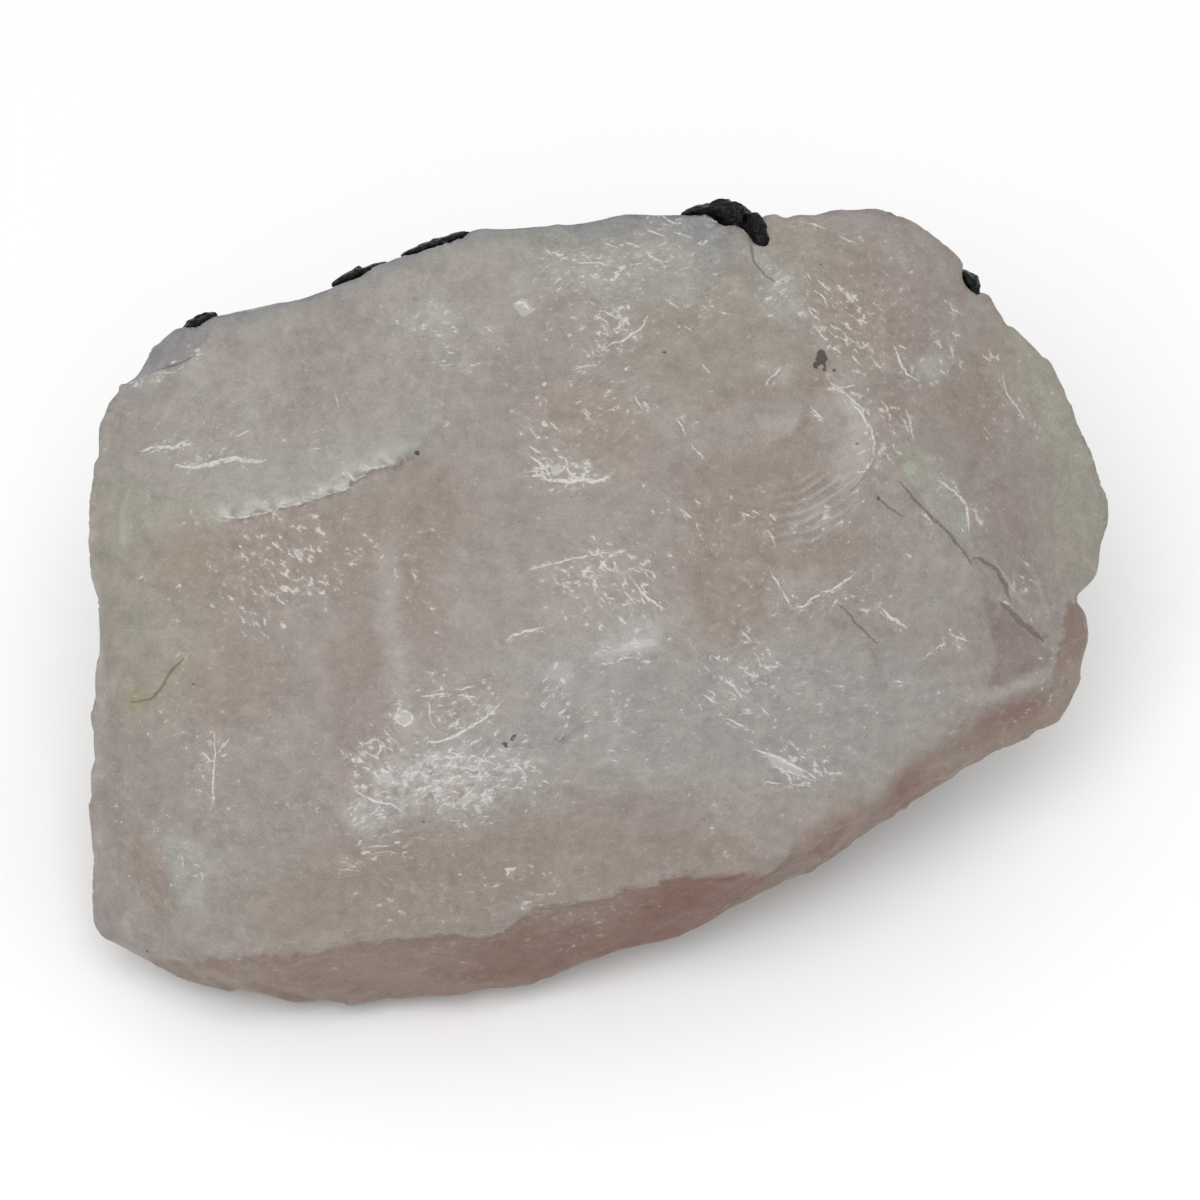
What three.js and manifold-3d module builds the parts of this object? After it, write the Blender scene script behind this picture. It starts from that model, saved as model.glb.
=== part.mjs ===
// A rough chunk of rose quartz, 100 mm across, with patches of a black mineral grown into its crest.
// Millimetres, +Z up. The chunk stands on a small flat break, and its broad main face leans back and
// looks up at the front. Its front is given on that main face: X runs to the right of it, Y up it,
// and Z straight out of it, all from the stone's heart. Its back is given as the stone stands.
import * as THREE from "three";
import { ConvexGeometry } from "three/addons/geometries/ConvexGeometry.js";
import { mergeVertices } from "three/addons/utils/BufferGeometryUtils.js";
import Module from "manifold-3d";

const wasm = await Module();
wasm.setup();

// Driving sizes
const MAIN_FACE_RISE = 52; // degrees above the horizon that the main face looks
const HEART_HEIGHT = 27; // of the stone's heart above the surface that it stands on
const POCKET_GAP = 0.35; // between a patch of the black mineral and the quartz round it
const ROUGH_BLOCK = 200; // edge of the blocks that a split is made with

// Where the breaks that bound the main face meet: [right, up, out of the face].
const FRONT_CORNERS = {
  // the stone's outline, clockwise from its upper left corner
  upperLeft: [-48.3, 21.2, 2],
  upperLeftStep: [-43.7, 25.0, 2],
  upperLeftEdge: [-39.7, 23.4, 5.8],
  leftShoulder: [-40.3, 27.3, 3],
  crestLeft: [-31.8, 29.2, 3],
  crestLeftRise: [-21.3, 33.5, 3],
  crestMiddle: [-11.5, 36.8, 3],
  crestRight: [14.5, 38.0, 3],
  crestEnd: [27.2, 38.0, 2],
  shoulderTop: [30.4, 37.4, 1],
  shoulder: [33.9, 35.1, 1],
  rightUpper: [44.4, 24.0, -2],
  rightBrow: [48.5, 15.3, -3],
  rightTip: [50.0, 8.5, -4],
  rightWaist: [48.6, 2.0, -4],
  rightLow: [47.2, -8.3, -4],
  rightCorner: [46.1, -10.6, -4],
  frontRightEnd: [37.9, -15.2, -2],
  frontRight: [22.4, -25.7, -1],
  frontMiddle: [6.3, -33.0, 0],
  frontLeft: [-5.7, -37.6, 0],
  frontFoot: [-25.7, -39.3, 0],
  frontFootLeft: [-41.2, -37.6, 0],
  lowerLeft: [-49.1, -33.4, 1],
  lowerLeftSide: [-49.7, -31.5, 2],
  left: [-49.2, -14.0, 5],
  leftUpper: [-49.9, 4.5, 5],
  // the edge where the main face rolls over into the steep band below it
  bandLeft: [-38.6, -35.4, 8.5],
  bandMiddle: [-26.0, -32.8, 11],
  bandCentre: [-7.0, -29.3, 11.5],
  bandTurn: [7.2, -26.6, 10.4],
  bandRight: [13.4, -26.2, 9.4],
  bandRightEnd: [24.2, -21.2, 7.8],
  bandTip: [36.8, -11.2, 4.6],
  bandCorner: [44.6, -7.6, -0.8],
  // the low ridge that crosses the main face from its left to its right
  ridgeLeft: [-44.4, 7.5, 9.2],
  ledgeLeft: [-36.4, 8.2, 11.4],
  ledgeMiddle: [-24.4, 11.1, 13],
  ledgeRight: [-18.0, 14.2, 13],
  ridgeCentre: [3.7, 17.6, 12.6],
  ridgeFork: [22.2, 22.4, 8.8],
  // the lower half of the main face
  hollowLeft: [-42.6, -9.5, 10],
  creaseLeft: [-40.6, -29, 9.6],
  bulgeLeft: [-24.8, -21, 14.4],
  bulgeCrown: [-14.6, -16.2, 15.6],
  bulgeRight: [3.6, -3.7, 15.4],
  centreRight: [21.5, 1.5, 13],
  shoulderFoot: [26.4, 16.6, 10.2],
  shoulderEdge: [35.8, 4.1, 8],
  triangleTop: [44.2, -5.0, 1.4],
  triangleFoot: [36.4, -9.4, 5.8],
};

// Where the breaks of the sides and the back meet: [to the right, to the back, above the surface].
const BACK_CORNERS = {
  leftBrow: [-45, 7, 38],
  backShoulderLeft: [-37, 25, 33],
  backBrowLeft: [-19, 32, 38],
  backBrow: [8, 34, 40],
  backBrowRight: [29, 30, 39],
  backShoulderRight: [42, 19, 30],
  rightBack: [45.5, 4, 19],
  rightUnder: [37, -9, 15],
  leftSide: [-47.5, -6, 17],
  leftUnder: [-42, -21, 7],
  leftHeel: [-40, 16, 9],
  backHeelLeft: [-19, 27, 10],
  backHeel: [11, 29, 8],
  backHeelRight: [33, 21, 9],
  rightHeel: [39, 5, 8],
  frontHeel: [22, -15, 7],
};

// The small flat break that the stone stands on: [to the right, to the back].
const RESTING_CORNERS = [
  [-27, -15],
  [-12, -23],
  [6, -15],
  [17, -3],
  [15, 12],
  [-4, 17],
  [-24, 9],
];

// Coves bitten into the outline of the main face, each by a ball of this radius: where, [right, up,
// out], the way that the outline faces there, in degrees round the face from its right, and how deep.
const OUTLINE_COVES = {
  upperLeftNotch: { at: [-46.3, 22.8, 2], turn: 130, radius: 4, depth: 0.9 },
  crestLeft: { at: [-30.5, 30.6, 3], turn: 109, radius: 60, depth: 0.9 },
  shoulder: { at: [39.1, 29.5, -0.5], turn: 43, radius: 22, depth: 0.9 },
  waist: { at: [47.9, -2.5, -4], turn: -5, radius: 10, depth: 0.8 },
  frontRight: { at: [15.3, -28.9, -0.5], turn: -65, radius: 16, depth: 1.0 },
  frontMiddle: { at: [-1.0, -35.6, 0], turn: -69, radius: 14, depth: 0.6 },
  frontFoot: { at: [-33.8, -38.4, 0], turn: -96, radius: 40, depth: 0.4 },
};

// Shell-shaped hollows of the sides and the back, where flakes have come off. Each is found along a
// line from the heart, turn degrees round the standing stone from its right and lean degrees upwards.
const SHELL_HOLLOWS = [
  { turn: 70, lean: 14, radius: 80, depth: 2.4 }, // back, upper right
  { turn: 112, lean: 18, radius: 90, depth: 2.2 }, // back, upper left
  { turn: 90, lean: -18, radius: 60, depth: 2.6 }, // back, middle of the foot
  { turn: 48, lean: -16, radius: 46, depth: 2.0 }, // back, right of the foot
  { turn: 136, lean: -14, radius: 52, depth: 2.2 }, // back, left of the foot
  { turn: 157, lean: 10, radius: 50, depth: 1.8 }, // left side, behind
  { turn: 186, lean: -12, radius: 60, depth: 1.4 }, // left side, below
  { turn: 12, lean: -8, radius: 40, depth: 1.6 }, // right side
  { turn: -22, lean: -26, radius: 40, depth: 1.4 }, // under the right end
  { turn: -60, lean: -52, radius: 50, depth: 0.9 }, // under the front
];
const SMALL_BALL = 20; // radius up to which a biting ball needs only a few faces

// The upper slab stands proud of the rock below it, along a ledge. What has split off below the ledge
// is bounded by this outline, [right, up], and goes down to a floor through three places.
const LEDGE_OUTLINE = [
  [-38.5, 7.6],
  [-36.4, 8.4],
  [-30.6, 9.9],
  [-24.6, 11.2],
  [-20.6, 13.9],
  [-17.2, 14.9],
  [-15.0, 12.0],
  [-12.0, 4.0],
  [-14.0, -8.0],
  [-34.0, -8.0],
  [-41.0, 1.0],
];
const LEDGE_FLOOR = [
  [-37.0, 8.2, 10.6],
  [-20.0, 13.0, 11.5],
  [-24.0, -9.0, 13.9],
];

// Patches of the black mineral, each of a few lumps grown together: where each lump lies on the main
// face, [right, up, out], how far it's turned round the way out of the face, in degrees, and its half
// sizes: along, across and out.
const BLACK_PATCHES = {
  black_mineral_crest: [
    { at: [10.2, 38.1, 1.5], turn: 8, half: [2.4, 0.7, 1.3] },
    { at: [12.7, 37.8, 1.9], turn: -24, half: [2.2, 1.1, 1.4] },
    { at: [15.1, 36.0, 3.0], turn: -72, half: [2.1, 0.9, 1.1] },
  ],
  black_mineral_left_corner: [{ at: [-39.4, 27.2, 2.2], turn: 28, half: [1.8, 0.55, 1.2] }],
  black_mineral_left_edge: [
    { at: [-24.6, 31.7, 2.0], turn: 24, half: [1.7, 0.45, 0.9] },
    { at: [-22.6, 32.4, 1.8], turn: 22, half: [1.7, 0.45, 0.9] },
  ],
  black_mineral_upper_edge: [
    { at: [-17.6, 34.5, 2.0], turn: 18, half: [2.0, 0.4, 0.8] },
    { at: [-14.9, 35.4, 1.8], turn: 20, half: [1.8, 0.45, 0.9] },
  ],
  black_mineral_right_edge: [{ at: [36.2, 31.3, -0.2], turn: -60, half: [1.3, 0.55, 1.0] }],
};

const radians = THREE.MathUtils.degToRad;
const UP_THE_FACE = new THREE.Vector3(0, Math.sin(radians(MAIN_FACE_RISE)), Math.cos(radians(MAIN_FACE_RISE)));
const OUT_OF_FACE = new THREE.Vector3(0, -Math.cos(radians(MAIN_FACE_RISE)), Math.sin(radians(MAIN_FACE_RISE)));
const HEART = new THREE.Vector3(0, 0, HEART_HEIGHT);

// A place on the main face, as a point of the stone as it stands.
function onFace([right, up, out]) {
  return new THREE.Vector3(right, 0, HEART_HEIGHT).addScaledVector(UP_THE_FACE, up).addScaledVector(OUT_OF_FACE, out);
}

// A closed three.js geometry as a manifold solid.
function solid(geometry) {
  const bare = new THREE.BufferGeometry().setAttribute("position", geometry.getAttribute("position"));
  if (geometry.getIndex()) bare.setIndex(geometry.getIndex());
  const merged = mergeVertices(bare, 1e-4);
  return new wasm.Manifold(
    new wasm.Mesh({
      numProp: 3,
      vertProperties: new Float32Array(merged.getAttribute("position").array),
      triVerts: new Uint32Array(merged.getIndex().array),
    }),
  );
}

// A manifold solid as a three.js geometry.
function geometryOf(made) {
  const mesh = made.getMesh();
  const geometry = new THREE.BufferGeometry();
  geometry.setAttribute("position", new THREE.BufferAttribute(new Float32Array(mesh.vertProperties), 3));
  geometry.setIndex(new THREE.BufferAttribute(new Uint32Array(mesh.triVerts), 1));
  geometry.computeVertexNormals();
  return geometry;
}

// The chunk as it first splits from the rock: flat breaks between all the corners.
function brokenChunk() {
  const corners = [
    ...Object.values(FRONT_CORNERS).map(onFace),
    ...Object.values(BACK_CORNERS).map((corner) => new THREE.Vector3(...corner)),
    ...RESTING_CORNERS.map(([right, back]) => new THREE.Vector3(right, back, 0)),
  ];
  return solid(new ConvexGeometry(corners));
}

// A direction from the heart of the standing stone.
function outward({ turn, lean }) {
  const level = Math.cos(radians(lean));
  return new THREE.Vector3(level * Math.cos(radians(turn)), level * Math.sin(radians(turn)), Math.sin(radians(lean)));
}

// Where a straight line out of the heart leaves the stone, and the way the stone faces there.
function surfaceAlong(mesh, direction) {
  const outside = HEART.clone().addScaledVector(direction, ROUGH_BLOCK);
  const [hit] = new THREE.Raycaster(outside, direction.clone().negate()).intersectObject(mesh);
  return { point: hit.point, normal: hit.face.normal };
}

// The ball that bites a hollow of this depth at a point of the surface.
function bite(point, direction, { radius, depth }) {
  const centre = point.clone().addScaledVector(direction, radius - depth);
  const ball = new THREE.IcosahedronGeometry(radius, radius > SMALL_BALL ? 13 : 5);
  return solid(ball.translate(centre.x, centre.y, centre.z));
}

// The prism that an outline on the main face sweeps, as the stone stands.
function prismOnFace(outline) {
  const shape = new THREE.Shape(outline.map(([right, up]) => new THREE.Vector2(right, up)));
  const prism = new THREE.ExtrudeGeometry(shape, { depth: ROUGH_BLOCK, bevelEnabled: false });
  prism.rotateX(radians(90 - MAIN_FACE_RISE));
  prism.translate(HEART.x, HEART.y, HEART.z);
  return solid(prism);
}

// All the room on the outer side of the plane through three places on the main face.
function beyondFloor(places) {
  const plane = new THREE.Plane().setFromCoplanarPoints(...places.map(onFace));
  if (plane.normal.dot(OUT_OF_FACE) < 0) plane.negate();
  const block = new THREE.BoxGeometry(ROUGH_BLOCK, ROUGH_BLOCK, ROUGH_BLOCK).translate(0, 0, ROUGH_BLOCK / 2);
  block.applyQuaternion(new THREE.Quaternion().setFromUnitVectors(new THREE.Vector3(0, 0, 1), plane.normal));
  const foot = plane.projectPoint(HEART, new THREE.Vector3());
  return solid(block.translate(foot.x, foot.y, foot.z));
}

// A lump of the black mineral, swollen by a margin for the pocket that it grows in.
function lump({ at, turn, half }, margin) {
  const geometry = new THREE.IcosahedronGeometry(1, 2);
  geometry.scale(...half.map((size) => size + margin));
  geometry.rotateZ(radians(turn));
  geometry.rotateX(radians(90 - MAIN_FACE_RISE));
  const place = onFace(at);
  return solid(geometry.translate(place.x, place.y, place.z));
}

// All the lumps of one patch, joined.
function patch(lumps, margin = 0) {
  return lumps.map((each) => lump(each, margin)).reduce((whole, each) => whole.add(each));
}

const chunk = brokenChunk();
const chunkMesh = new THREE.Mesh(geometryOf(chunk));
let stone = chunk;
for (const hollow of SHELL_HOLLOWS) {
  const { point, normal } = surfaceAlong(chunkMesh, outward(hollow));
  stone = stone.subtract(bite(point, normal, hollow));
}
for (const cove of Object.values(OUTLINE_COVES)) {
  const direction = onFace([Math.cos(radians(cove.turn)), Math.sin(radians(cove.turn)), 0]).sub(HEART);
  stone = stone.subtract(bite(onFace(cove.at), direction, cove));
}
stone = stone.subtract(prismOnFace(LEDGE_OUTLINE).intersect(beyondFloor(LEDGE_FLOOR)));
for (const lumps of Object.values(BLACK_PATCHES)) stone = stone.subtract(patch(lumps, POCKET_GAP));

const quartz = new THREE.Mesh(
  geometryOf(stone),
  new THREE.MeshStandardMaterial({ color: 0xa19992, roughness: 0.45, metalness: 0 }),
);
quartz.name = "rose_quartz";

const part = new THREE.Group();
part.add(quartz);
for (const [name, lumps] of Object.entries(BLACK_PATCHES)) {
  const mineral = new THREE.Mesh(
    geometryOf(patch(lumps)),
    new THREE.MeshStandardMaterial({ color: 0x1d1c1e, roughness: 0.35, metalness: 0 }),
  );
  mineral.name = name;
  part.add(mineral);
}

// The origin is under the middle of the stone, on the surface that it stands on.
const middle = new THREE.Box3().setFromObject(part).getCenter(new THREE.Vector3());
part.position.set(-middle.x, -middle.y, 0);

export default part;
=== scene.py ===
import math
import bpy
import numpy as np
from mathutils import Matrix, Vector


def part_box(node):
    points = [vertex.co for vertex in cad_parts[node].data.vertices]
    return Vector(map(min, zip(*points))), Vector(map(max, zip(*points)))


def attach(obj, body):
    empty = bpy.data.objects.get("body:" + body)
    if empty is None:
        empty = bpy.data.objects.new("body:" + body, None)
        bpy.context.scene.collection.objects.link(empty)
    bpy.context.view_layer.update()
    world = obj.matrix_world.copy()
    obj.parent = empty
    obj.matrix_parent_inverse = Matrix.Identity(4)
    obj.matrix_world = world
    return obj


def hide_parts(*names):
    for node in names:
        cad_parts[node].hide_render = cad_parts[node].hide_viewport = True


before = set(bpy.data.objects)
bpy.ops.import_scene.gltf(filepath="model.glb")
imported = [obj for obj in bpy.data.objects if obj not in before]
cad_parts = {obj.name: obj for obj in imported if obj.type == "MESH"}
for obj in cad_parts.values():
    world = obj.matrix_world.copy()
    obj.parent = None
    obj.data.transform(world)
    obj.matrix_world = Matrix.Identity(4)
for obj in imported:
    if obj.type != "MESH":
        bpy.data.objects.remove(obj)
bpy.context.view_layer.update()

# The view
# The stone stands on its flat break and is seen from above the front, square on to its broad main
# face, from so far off that its near and far sides are drawn at almost the same size.
HEART = np.array([0.00002, -0.00005,
    0.027])  # the middle of the stone, from which its main face is laid out
MAIN_FACE_RISE = math.radians(52)
MM = 0.001
VIEW_WIDTH = 117.65 * MM  # what the picture spans at the heart's distance
LENS, SENSOR = 200.0, 36.0
OFF_CENTRE = 0.2 * MM  # the heart lies this far right of the picture's middle, and this far below it

RIGHT = np.array([1.0, 0.0, 0.0])
UP_FACE = np.array([0.0, math.sin(MAIN_FACE_RISE), math.cos(MAIN_FACE_RISE)])
OUT = np.array([0.0, -math.cos(MAIN_FACE_RISE), math.sin(MAIN_FACE_RISE)])

camera = bpy.data.objects.new("camera", bpy.data.cameras.new("camera"))
bpy.context.scene.collection.objects.link(camera)
camera.data.lens = LENS
camera.data.sensor_width = SENSOR
camera.data.clip_end = 20.0
camera.location = Vector(HEART + OUT * VIEW_WIDTH * LENS / SENSOR + (UP_FACE - RIGHT) * OFF_CENTRE)
camera.rotation_euler = (math.pi / 2 - MAIN_FACE_RISE, 0.0, 0.0)
bpy.context.scene.camera = camera

# The quartz: its shape
# One natural stone of milky quartz, split off a larger mass. Broad smooth breaks meet along soft
# edges, with a ledge, small steps, ripples and chips where flakes came away.
QUARTZ_CELLS = (102, 68, 54)  # squares of the coarse surface along the box's width, depth and height
QUARTZ_CORE = np.array([-0.002, 0.002, 0.025])  # the point that every part of the surface can be seen from


def triangles_of(node):
    """The corners of a CAD node's triangles, as an array of triangles by corners by coordinates."""
    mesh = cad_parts[node].data
    mesh.calc_loop_triangles()
    places = np.empty(len(mesh.vertices) * 3)
    mesh.vertices.foreach_get("co", places)
    corners = np.empty(len(mesh.loop_triangles) * 3, dtype=np.int64)
    mesh.loop_triangles.foreach_get("vertices", corners)
    return places.reshape(-1, 3)[corners].reshape(-1, 3, 3)


def box_squares(cells, finest=1):
    """The squares on the surface of a box of whole-number cells, by their four corners.

    Each side is a grid of two whole-number parameters, and a square's corners run so that it faces
    out. The corners count in steps that are one part in `finest` of a cell."""
    sides = []
    for axis in range(3):
        first, second = (axis + 1) % 3, (axis + 2) % 3
        i, j = np.meshgrid(np.arange(cells[first]), np.arange(cells[second]), indexing="ij")
        for end in (0, cells[axis]):
            corner = np.zeros(i.shape + (4, 3), dtype=np.int64)
            corner[..., axis] = end
            corner[..., first] = i[..., None] + np.array([0, 1, 1, 0])
            corner[..., second] = j[..., None] + np.array([0, 0, 1, 1])
            sides.append((corner if end else corner[..., ::-1, :]).reshape(-1, 4, 3))
    return np.concatenate(sides) * finest


def quartered(squares):
    """Each square cut into four, from each of its corners to its middle."""
    after = np.roll(squares, -1, axis=1)
    halfway = (squares + after) // 2
    middle = np.repeat(squares.sum(1)[:, None] // 4, 4, axis=1)
    return np.stack([squares, halfway, middle, np.roll(halfway, 1, axis=1)], 2).reshape(-1, 4, 3)


def joined(squares, cells, finest):
    """The squares' corners found once each, and the faces between them.

    A corner's three whole numbers make one key. Where a square has smaller neighbours, the corners
    that they have on its sides are put into it as well, so that the surface stays closed."""
    size = np.array(cells) * finest + 1

    def key(corner):
        return (corner[..., 0] * size[1] + corner[..., 1]) * size[2] + corner[..., 2]

    keys, index = np.unique(key(squares), return_inverse=True)
    whole = np.stack([keys // (size[1] * size[2]), keys // size[2] % size[1], keys % size[2]], 1)
    after = np.roll(squares, -1, axis=1)
    ring = []
    for quarter in range(4):
        step = (after - squares) * quarter
        found = key(squares + step // 4)
        place = np.minimum(np.searchsorted(keys, found), len(keys) - 1)
        there = (keys[place] == found) & np.all(step % 4 == 0, axis=2)
        ring.append(np.where(there, place, -1))
    ring = np.stack(ring, 2).reshape(len(squares), 16)
    plain = (ring >= 0).sum(1) == 4
    faces = index.reshape(-1, 4)[plain].tolist() + [row[row >= 0].tolist() for row in ring[~plain]]
    return whole * 2.0 / (size - 1) - 1.0, faces


def reach(directions, triangles, core, batch=4000):
    """How far each direction out of the core goes until it last leaves the triangles.

    A direction passes through a triangle if it lies on the same side of the three planes through the
    core and each of its edges; it then goes as far as the triangle's own plane."""
    a, b, c = (triangles[:, k] - core for k in range(3))
    planes = np.cross(b - a, c - a)
    offsets = np.einsum("ij,ij->i", planes, a)
    edges = [np.cross(a, b), np.cross(b, c), np.cross(c, a)]
    found = np.zeros(len(directions))
    slack = 1e-9 * np.abs(offsets).max()
    for start in range(0, len(directions), batch):
        rays = directions[start:start + batch]
        slopes = [rays @ edge.T for edge in edges]
        through = (slopes[0] > -slack) & (slopes[1] > -slack) & (slopes[2] > -slack)
        ray, face = np.nonzero(through)
        slope = np.einsum("ij,ij->i", rays[ray], planes[face])
        distance = np.where(slope > 1e-12, offsets[face] / np.maximum(slope, 1e-12), 0.0)
        np.maximum.at(found, start + ray, distance)
    return found


def on_stone(unit):
    """Where the rays through points of a box from -1 to 1, laid round the node's box, leave the stone."""
    low, high = (np.array(corner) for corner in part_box("rose_quartz"))
    directions = unit * (high - low) / 2 + (low + high) / 2 - QUARTZ_CORE
    directions /= np.linalg.norm(directions, axis=1)[:, None]
    return QUARTZ_CORE + directions * reach(directions, triangles_of("rose_quartz"), QUARTZ_CORE)[:, None]


def neighbour_mean(values, ends, counts):
    """Each point's neighbours' mean: both ends of every edge add up the value at the other end."""
    sums = [np.bincount(ends[:, 0], values[:, k][ends[:, 1]], len(values)) for k in range(values.shape[1])]
    return np.stack(sums, 1) / counts[:, None]


def facing_of(points, triangles):
    """The way that the surface faces at each point: the sum of its triangles' crosses, as unit lengths."""
    a, b, c = (points[triangles[:, k]] for k in range(3))
    across = np.cross(b - a, c - a)
    total = np.zeros_like(points)
    for corner in range(3):
        for k in range(3):
            total[:, k] += np.bincount(triangles[:, corner], across[:, k], len(points))
    return total / np.linalg.norm(total, axis=1)[:, None]


def gradient_noise(points, cell, seed):
    """Smooth noise from about -1 to 1: each corner of a lattice has a random slope, and a point takes
    the slopes of the eight corners round it, weighed by a curve that is level at the lattice's walls."""
    rng = np.random.default_rng(seed)
    slopes = rng.normal(size=(8192, 3))
    slopes /= np.linalg.norm(slopes, axis=1)[:, None]
    scaled = points / cell + 1000.0
    low = np.floor(scaled).astype(np.int64)
    part = scaled - low
    weight = part ** 3 * (part * (part * 6 - 15) + 10)
    total = np.zeros(len(points))
    for step in np.ndindex(2, 2, 2):
        corner = low + step
        index = (corner[:, 0] * 73856093 ^ corner[:, 1] * 19349663 ^ corner[:, 2] * 83492791) % 8192
        share = np.prod(np.where(step, weight, 1 - weight), axis=1)
        total += share * np.einsum("ij,ij->i", slopes[index], part - step)
    return total * 1.6


def smooth_step(low, high, value):
    """0 below low, 1 above high, and an S between them."""
    part = np.clip((value - low) / (high - low), 0, 1)
    return part * part * (3 - 2 * part)


def from_heart(points):
    """Where points lie on the main face: to its right, up it and out of it, in millimetres."""
    offset = (points - HEART) / MM
    return offset @ RIGHT, offset @ UP_FACE, offset @ OUT


def as_seen(points):
    """To the right and up, in millimetres, as the picture shows it: what is nearer is drawn larger."""
    right, up, out = from_heart(points)
    nearer = 1 - out * MM / (VIEW_WIDTH * LENS / SENSOR)
    return np.stack([right / nearer, up / nearer], 1)


def from_line(seen, line, limit=8.0):
    """How far each point is from a line of straight stretches, on which side of it, and how far along.

    On each stretch the nearest place is the point's shadow on it, kept between its ends. The side is
    above 0 on the line's left, and the share along runs from 0 to 1 by length. A point further off
    than the limit isn't worked out, and is said to be at the limit."""
    line = np.array(line, float)
    starts, ways = line[:-1], line[1:] - line[:-1]
    lengths = np.linalg.norm(ways, axis=1)
    away, side, share = np.full(len(seen), limit), np.ones(len(seen)), np.zeros(len(seen))
    near = np.nonzero(np.all((seen > line.min(0) - limit) & (seen < line.max(0) + limit), axis=1))[0]
    for k, (start, way) in enumerate(zip(starts, ways)):
        offset = seen[near] - start
        part = np.clip(offset @ way / lengths[k] ** 2, 0, 1)
        distance = np.linalg.norm(offset - part[:, None] * way, axis=1)
        nearer = distance < away[near]
        chosen = near[nearer]
        away[chosen] = distance[nearer]
        side[chosen] = np.where(way[0] * offset[nearer, 1] >= way[1] * offset[nearer, 0], 1.0, -1.0)
        share[chosen] = (lengths[:k].sum() + part[nearer] * lengths[k]) / lengths.sum()
    return away, side, share


def inside_ring(seen, ring, limit=8.0):
    """How deep each point lies inside a ring of corners, and below 0 outside it.

    A point is inside where a level line from it to the right crosses the ring an odd number of times."""
    closed = np.array(list(ring) + [ring[0]], float)
    away = from_line(seen, closed, limit)[0]
    within = np.zeros(len(seen), bool)
    for (x0, y0), (x1, y1) in zip(closed[:-1], closed[1:]):
        if y0 != y1:
            crossed = (y0 > seen[:, 1]) != (y1 > seen[:, 1])
            within ^= crossed & (seen[:, 0] < x0 + (seen[:, 1] - y0) * (x1 - x0) / (y1 - y0))
    return np.where(within, away, -away)


def blot(seen, place, half, tilt=0.0, edge=0.5):
    """A soft oval: 1 in its middle and 0 outside, by the distance from its middle in half sizes."""
    turn = math.radians(tilt)
    offset = seen - np.array(place, float)
    along = (offset[:, 0] * math.cos(turn) + offset[:, 1] * math.sin(turn)) / half[0]
    across = (offset[:, 1] * math.cos(turn) - offset[:, 0] * math.sin(turn)) / half[1]
    return 1 - smooth_step(1 - edge, 1 + edge, np.hypot(along, across))


# Lines on the main face, in millimetres to the right of the heart and up the face, as the picture
# shows them.
LEDGE = [
    (-36.8, 8.3), (-35.0, 8.4), (-30.5, 9.5), (-27.0, 10.5), (-24.8, 11.2), (-24.5, 11.8), (-23.8, 12.0),
    (-23.0, 12.8), (-21.3, 13.3), (-20.0, 13.4), (-18.6, 14.2), (-18.2, 14.9), (-16.8, 16.0), (-15.8, 17.6),
    (-14.7, 19.2), (-13.4, 20.3), (-12.4, 22.4),
]
LEDGE_TAIL = [(-49.0, 3.4), (-44.5, 6.6), (-42.0, 6.8), (-39.6, 6.6), (-37.2, 7.6), (-36.8, 8.3)]
STEP_LEFT = [(-45.0, 14.9), (-43.5, 15.2), (-42.0, 15.1), (-41.1, 15.6)]
STEP_RIGHT = [(-41.7, 13.4), (-40.7, 13.1), (-39.0, 13.4), (-37.5, 13.8), (-36.2, 14.1), (-34.8, 13.9),
    (-33.2, 14.0)]
CORNER_EDGE = [(-46.2, 21.5), (-44.0, 22.2), (-41.8, 22.6), (-40.5, 23.7), (-39.5, 24.4)]
OLIVE_FOOT = [(6.5, 18.0), (9.0, 18.3), (10.5, 18.9), (12.0, 19.7), (15.0, 21.2), (18.5, 21.5),
    (20.5, 21.2), (22.0, 21.7)]
VEIN = [(14.6, 34.8), (15.0, 33.3), (15.8, 32.3), (17.0, 31.5), (18.6, 29.0), (20.6, 27.4), (21.6, 25.2)]
CRESCENT = [
    (22.4, 21.7), (23.3, 20.7), (25.2, 19.2), (26.3, 17.2), (26.9, 15.7), (26.7, 14.5), (25.9, 12.8),
    (25.2, 11.8), (24.2, 10.8), (22.4, 9.2), (20.0, 7.9),
]
SCAR_FOOT = [(29.3, 11.6), (30.2, 10.3), (32.2, 8.3), (34.0, 6.7), (35.3, 5.0), (36.1, 3.8)]
SCAR_HEAD = [(33.3, 11.8), (34.8, 10.6), (35.7, 9.4), (36.0, 7.2)]
FAN_HEAD = [(36.3, 4.2), (37.2, 4.0), (38.6, 3.2), (39.3, 2.0), (39.8, 0.2)]
CRACK = [(39.2, -0.2), (40.0, -0.9), (41.5, -2.2), (43.0, -3.5)]
CORNER_RIB = [(35.8, -9.7), (39.0, -8.8), (42.0, -7.7), (44.6, -6.1)]
BAND_EDGE = [
    (-41.0, -35.6), (-39.0, -35.1), (-34.0, -34.7), (-30.0, -34.4), (-25.0, -33.6), (-20.0, -32.9),
    (-16.0, -32.4), (-13.0, -32.6), (-11.0, -32.6), (-9.5, -32.0), (-8.0, -31.0), (-6.0, -29.6),
    (-3.5, -29.6), (-1.5, -29.3), (1.0, -28.9), (2.0, -28.1), (3.2, -28.0), (5.5, -27.7), (7.0, -26.9),
    (10.0, -27.0), (13.5, -26.7), (15.5, -26.2), (17.5, -25.4), (20.0, -22.8), (23.0, -20.9),
    (27.0, -19.5), (28.2, -18.2), (29.0, -16.5), (31.5, -14.9), (34.0, -13.6), (37.0, -11.5),
    (40.0, -9.6), (43.0, -8.9), (44.0, -8.0),
]
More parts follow.
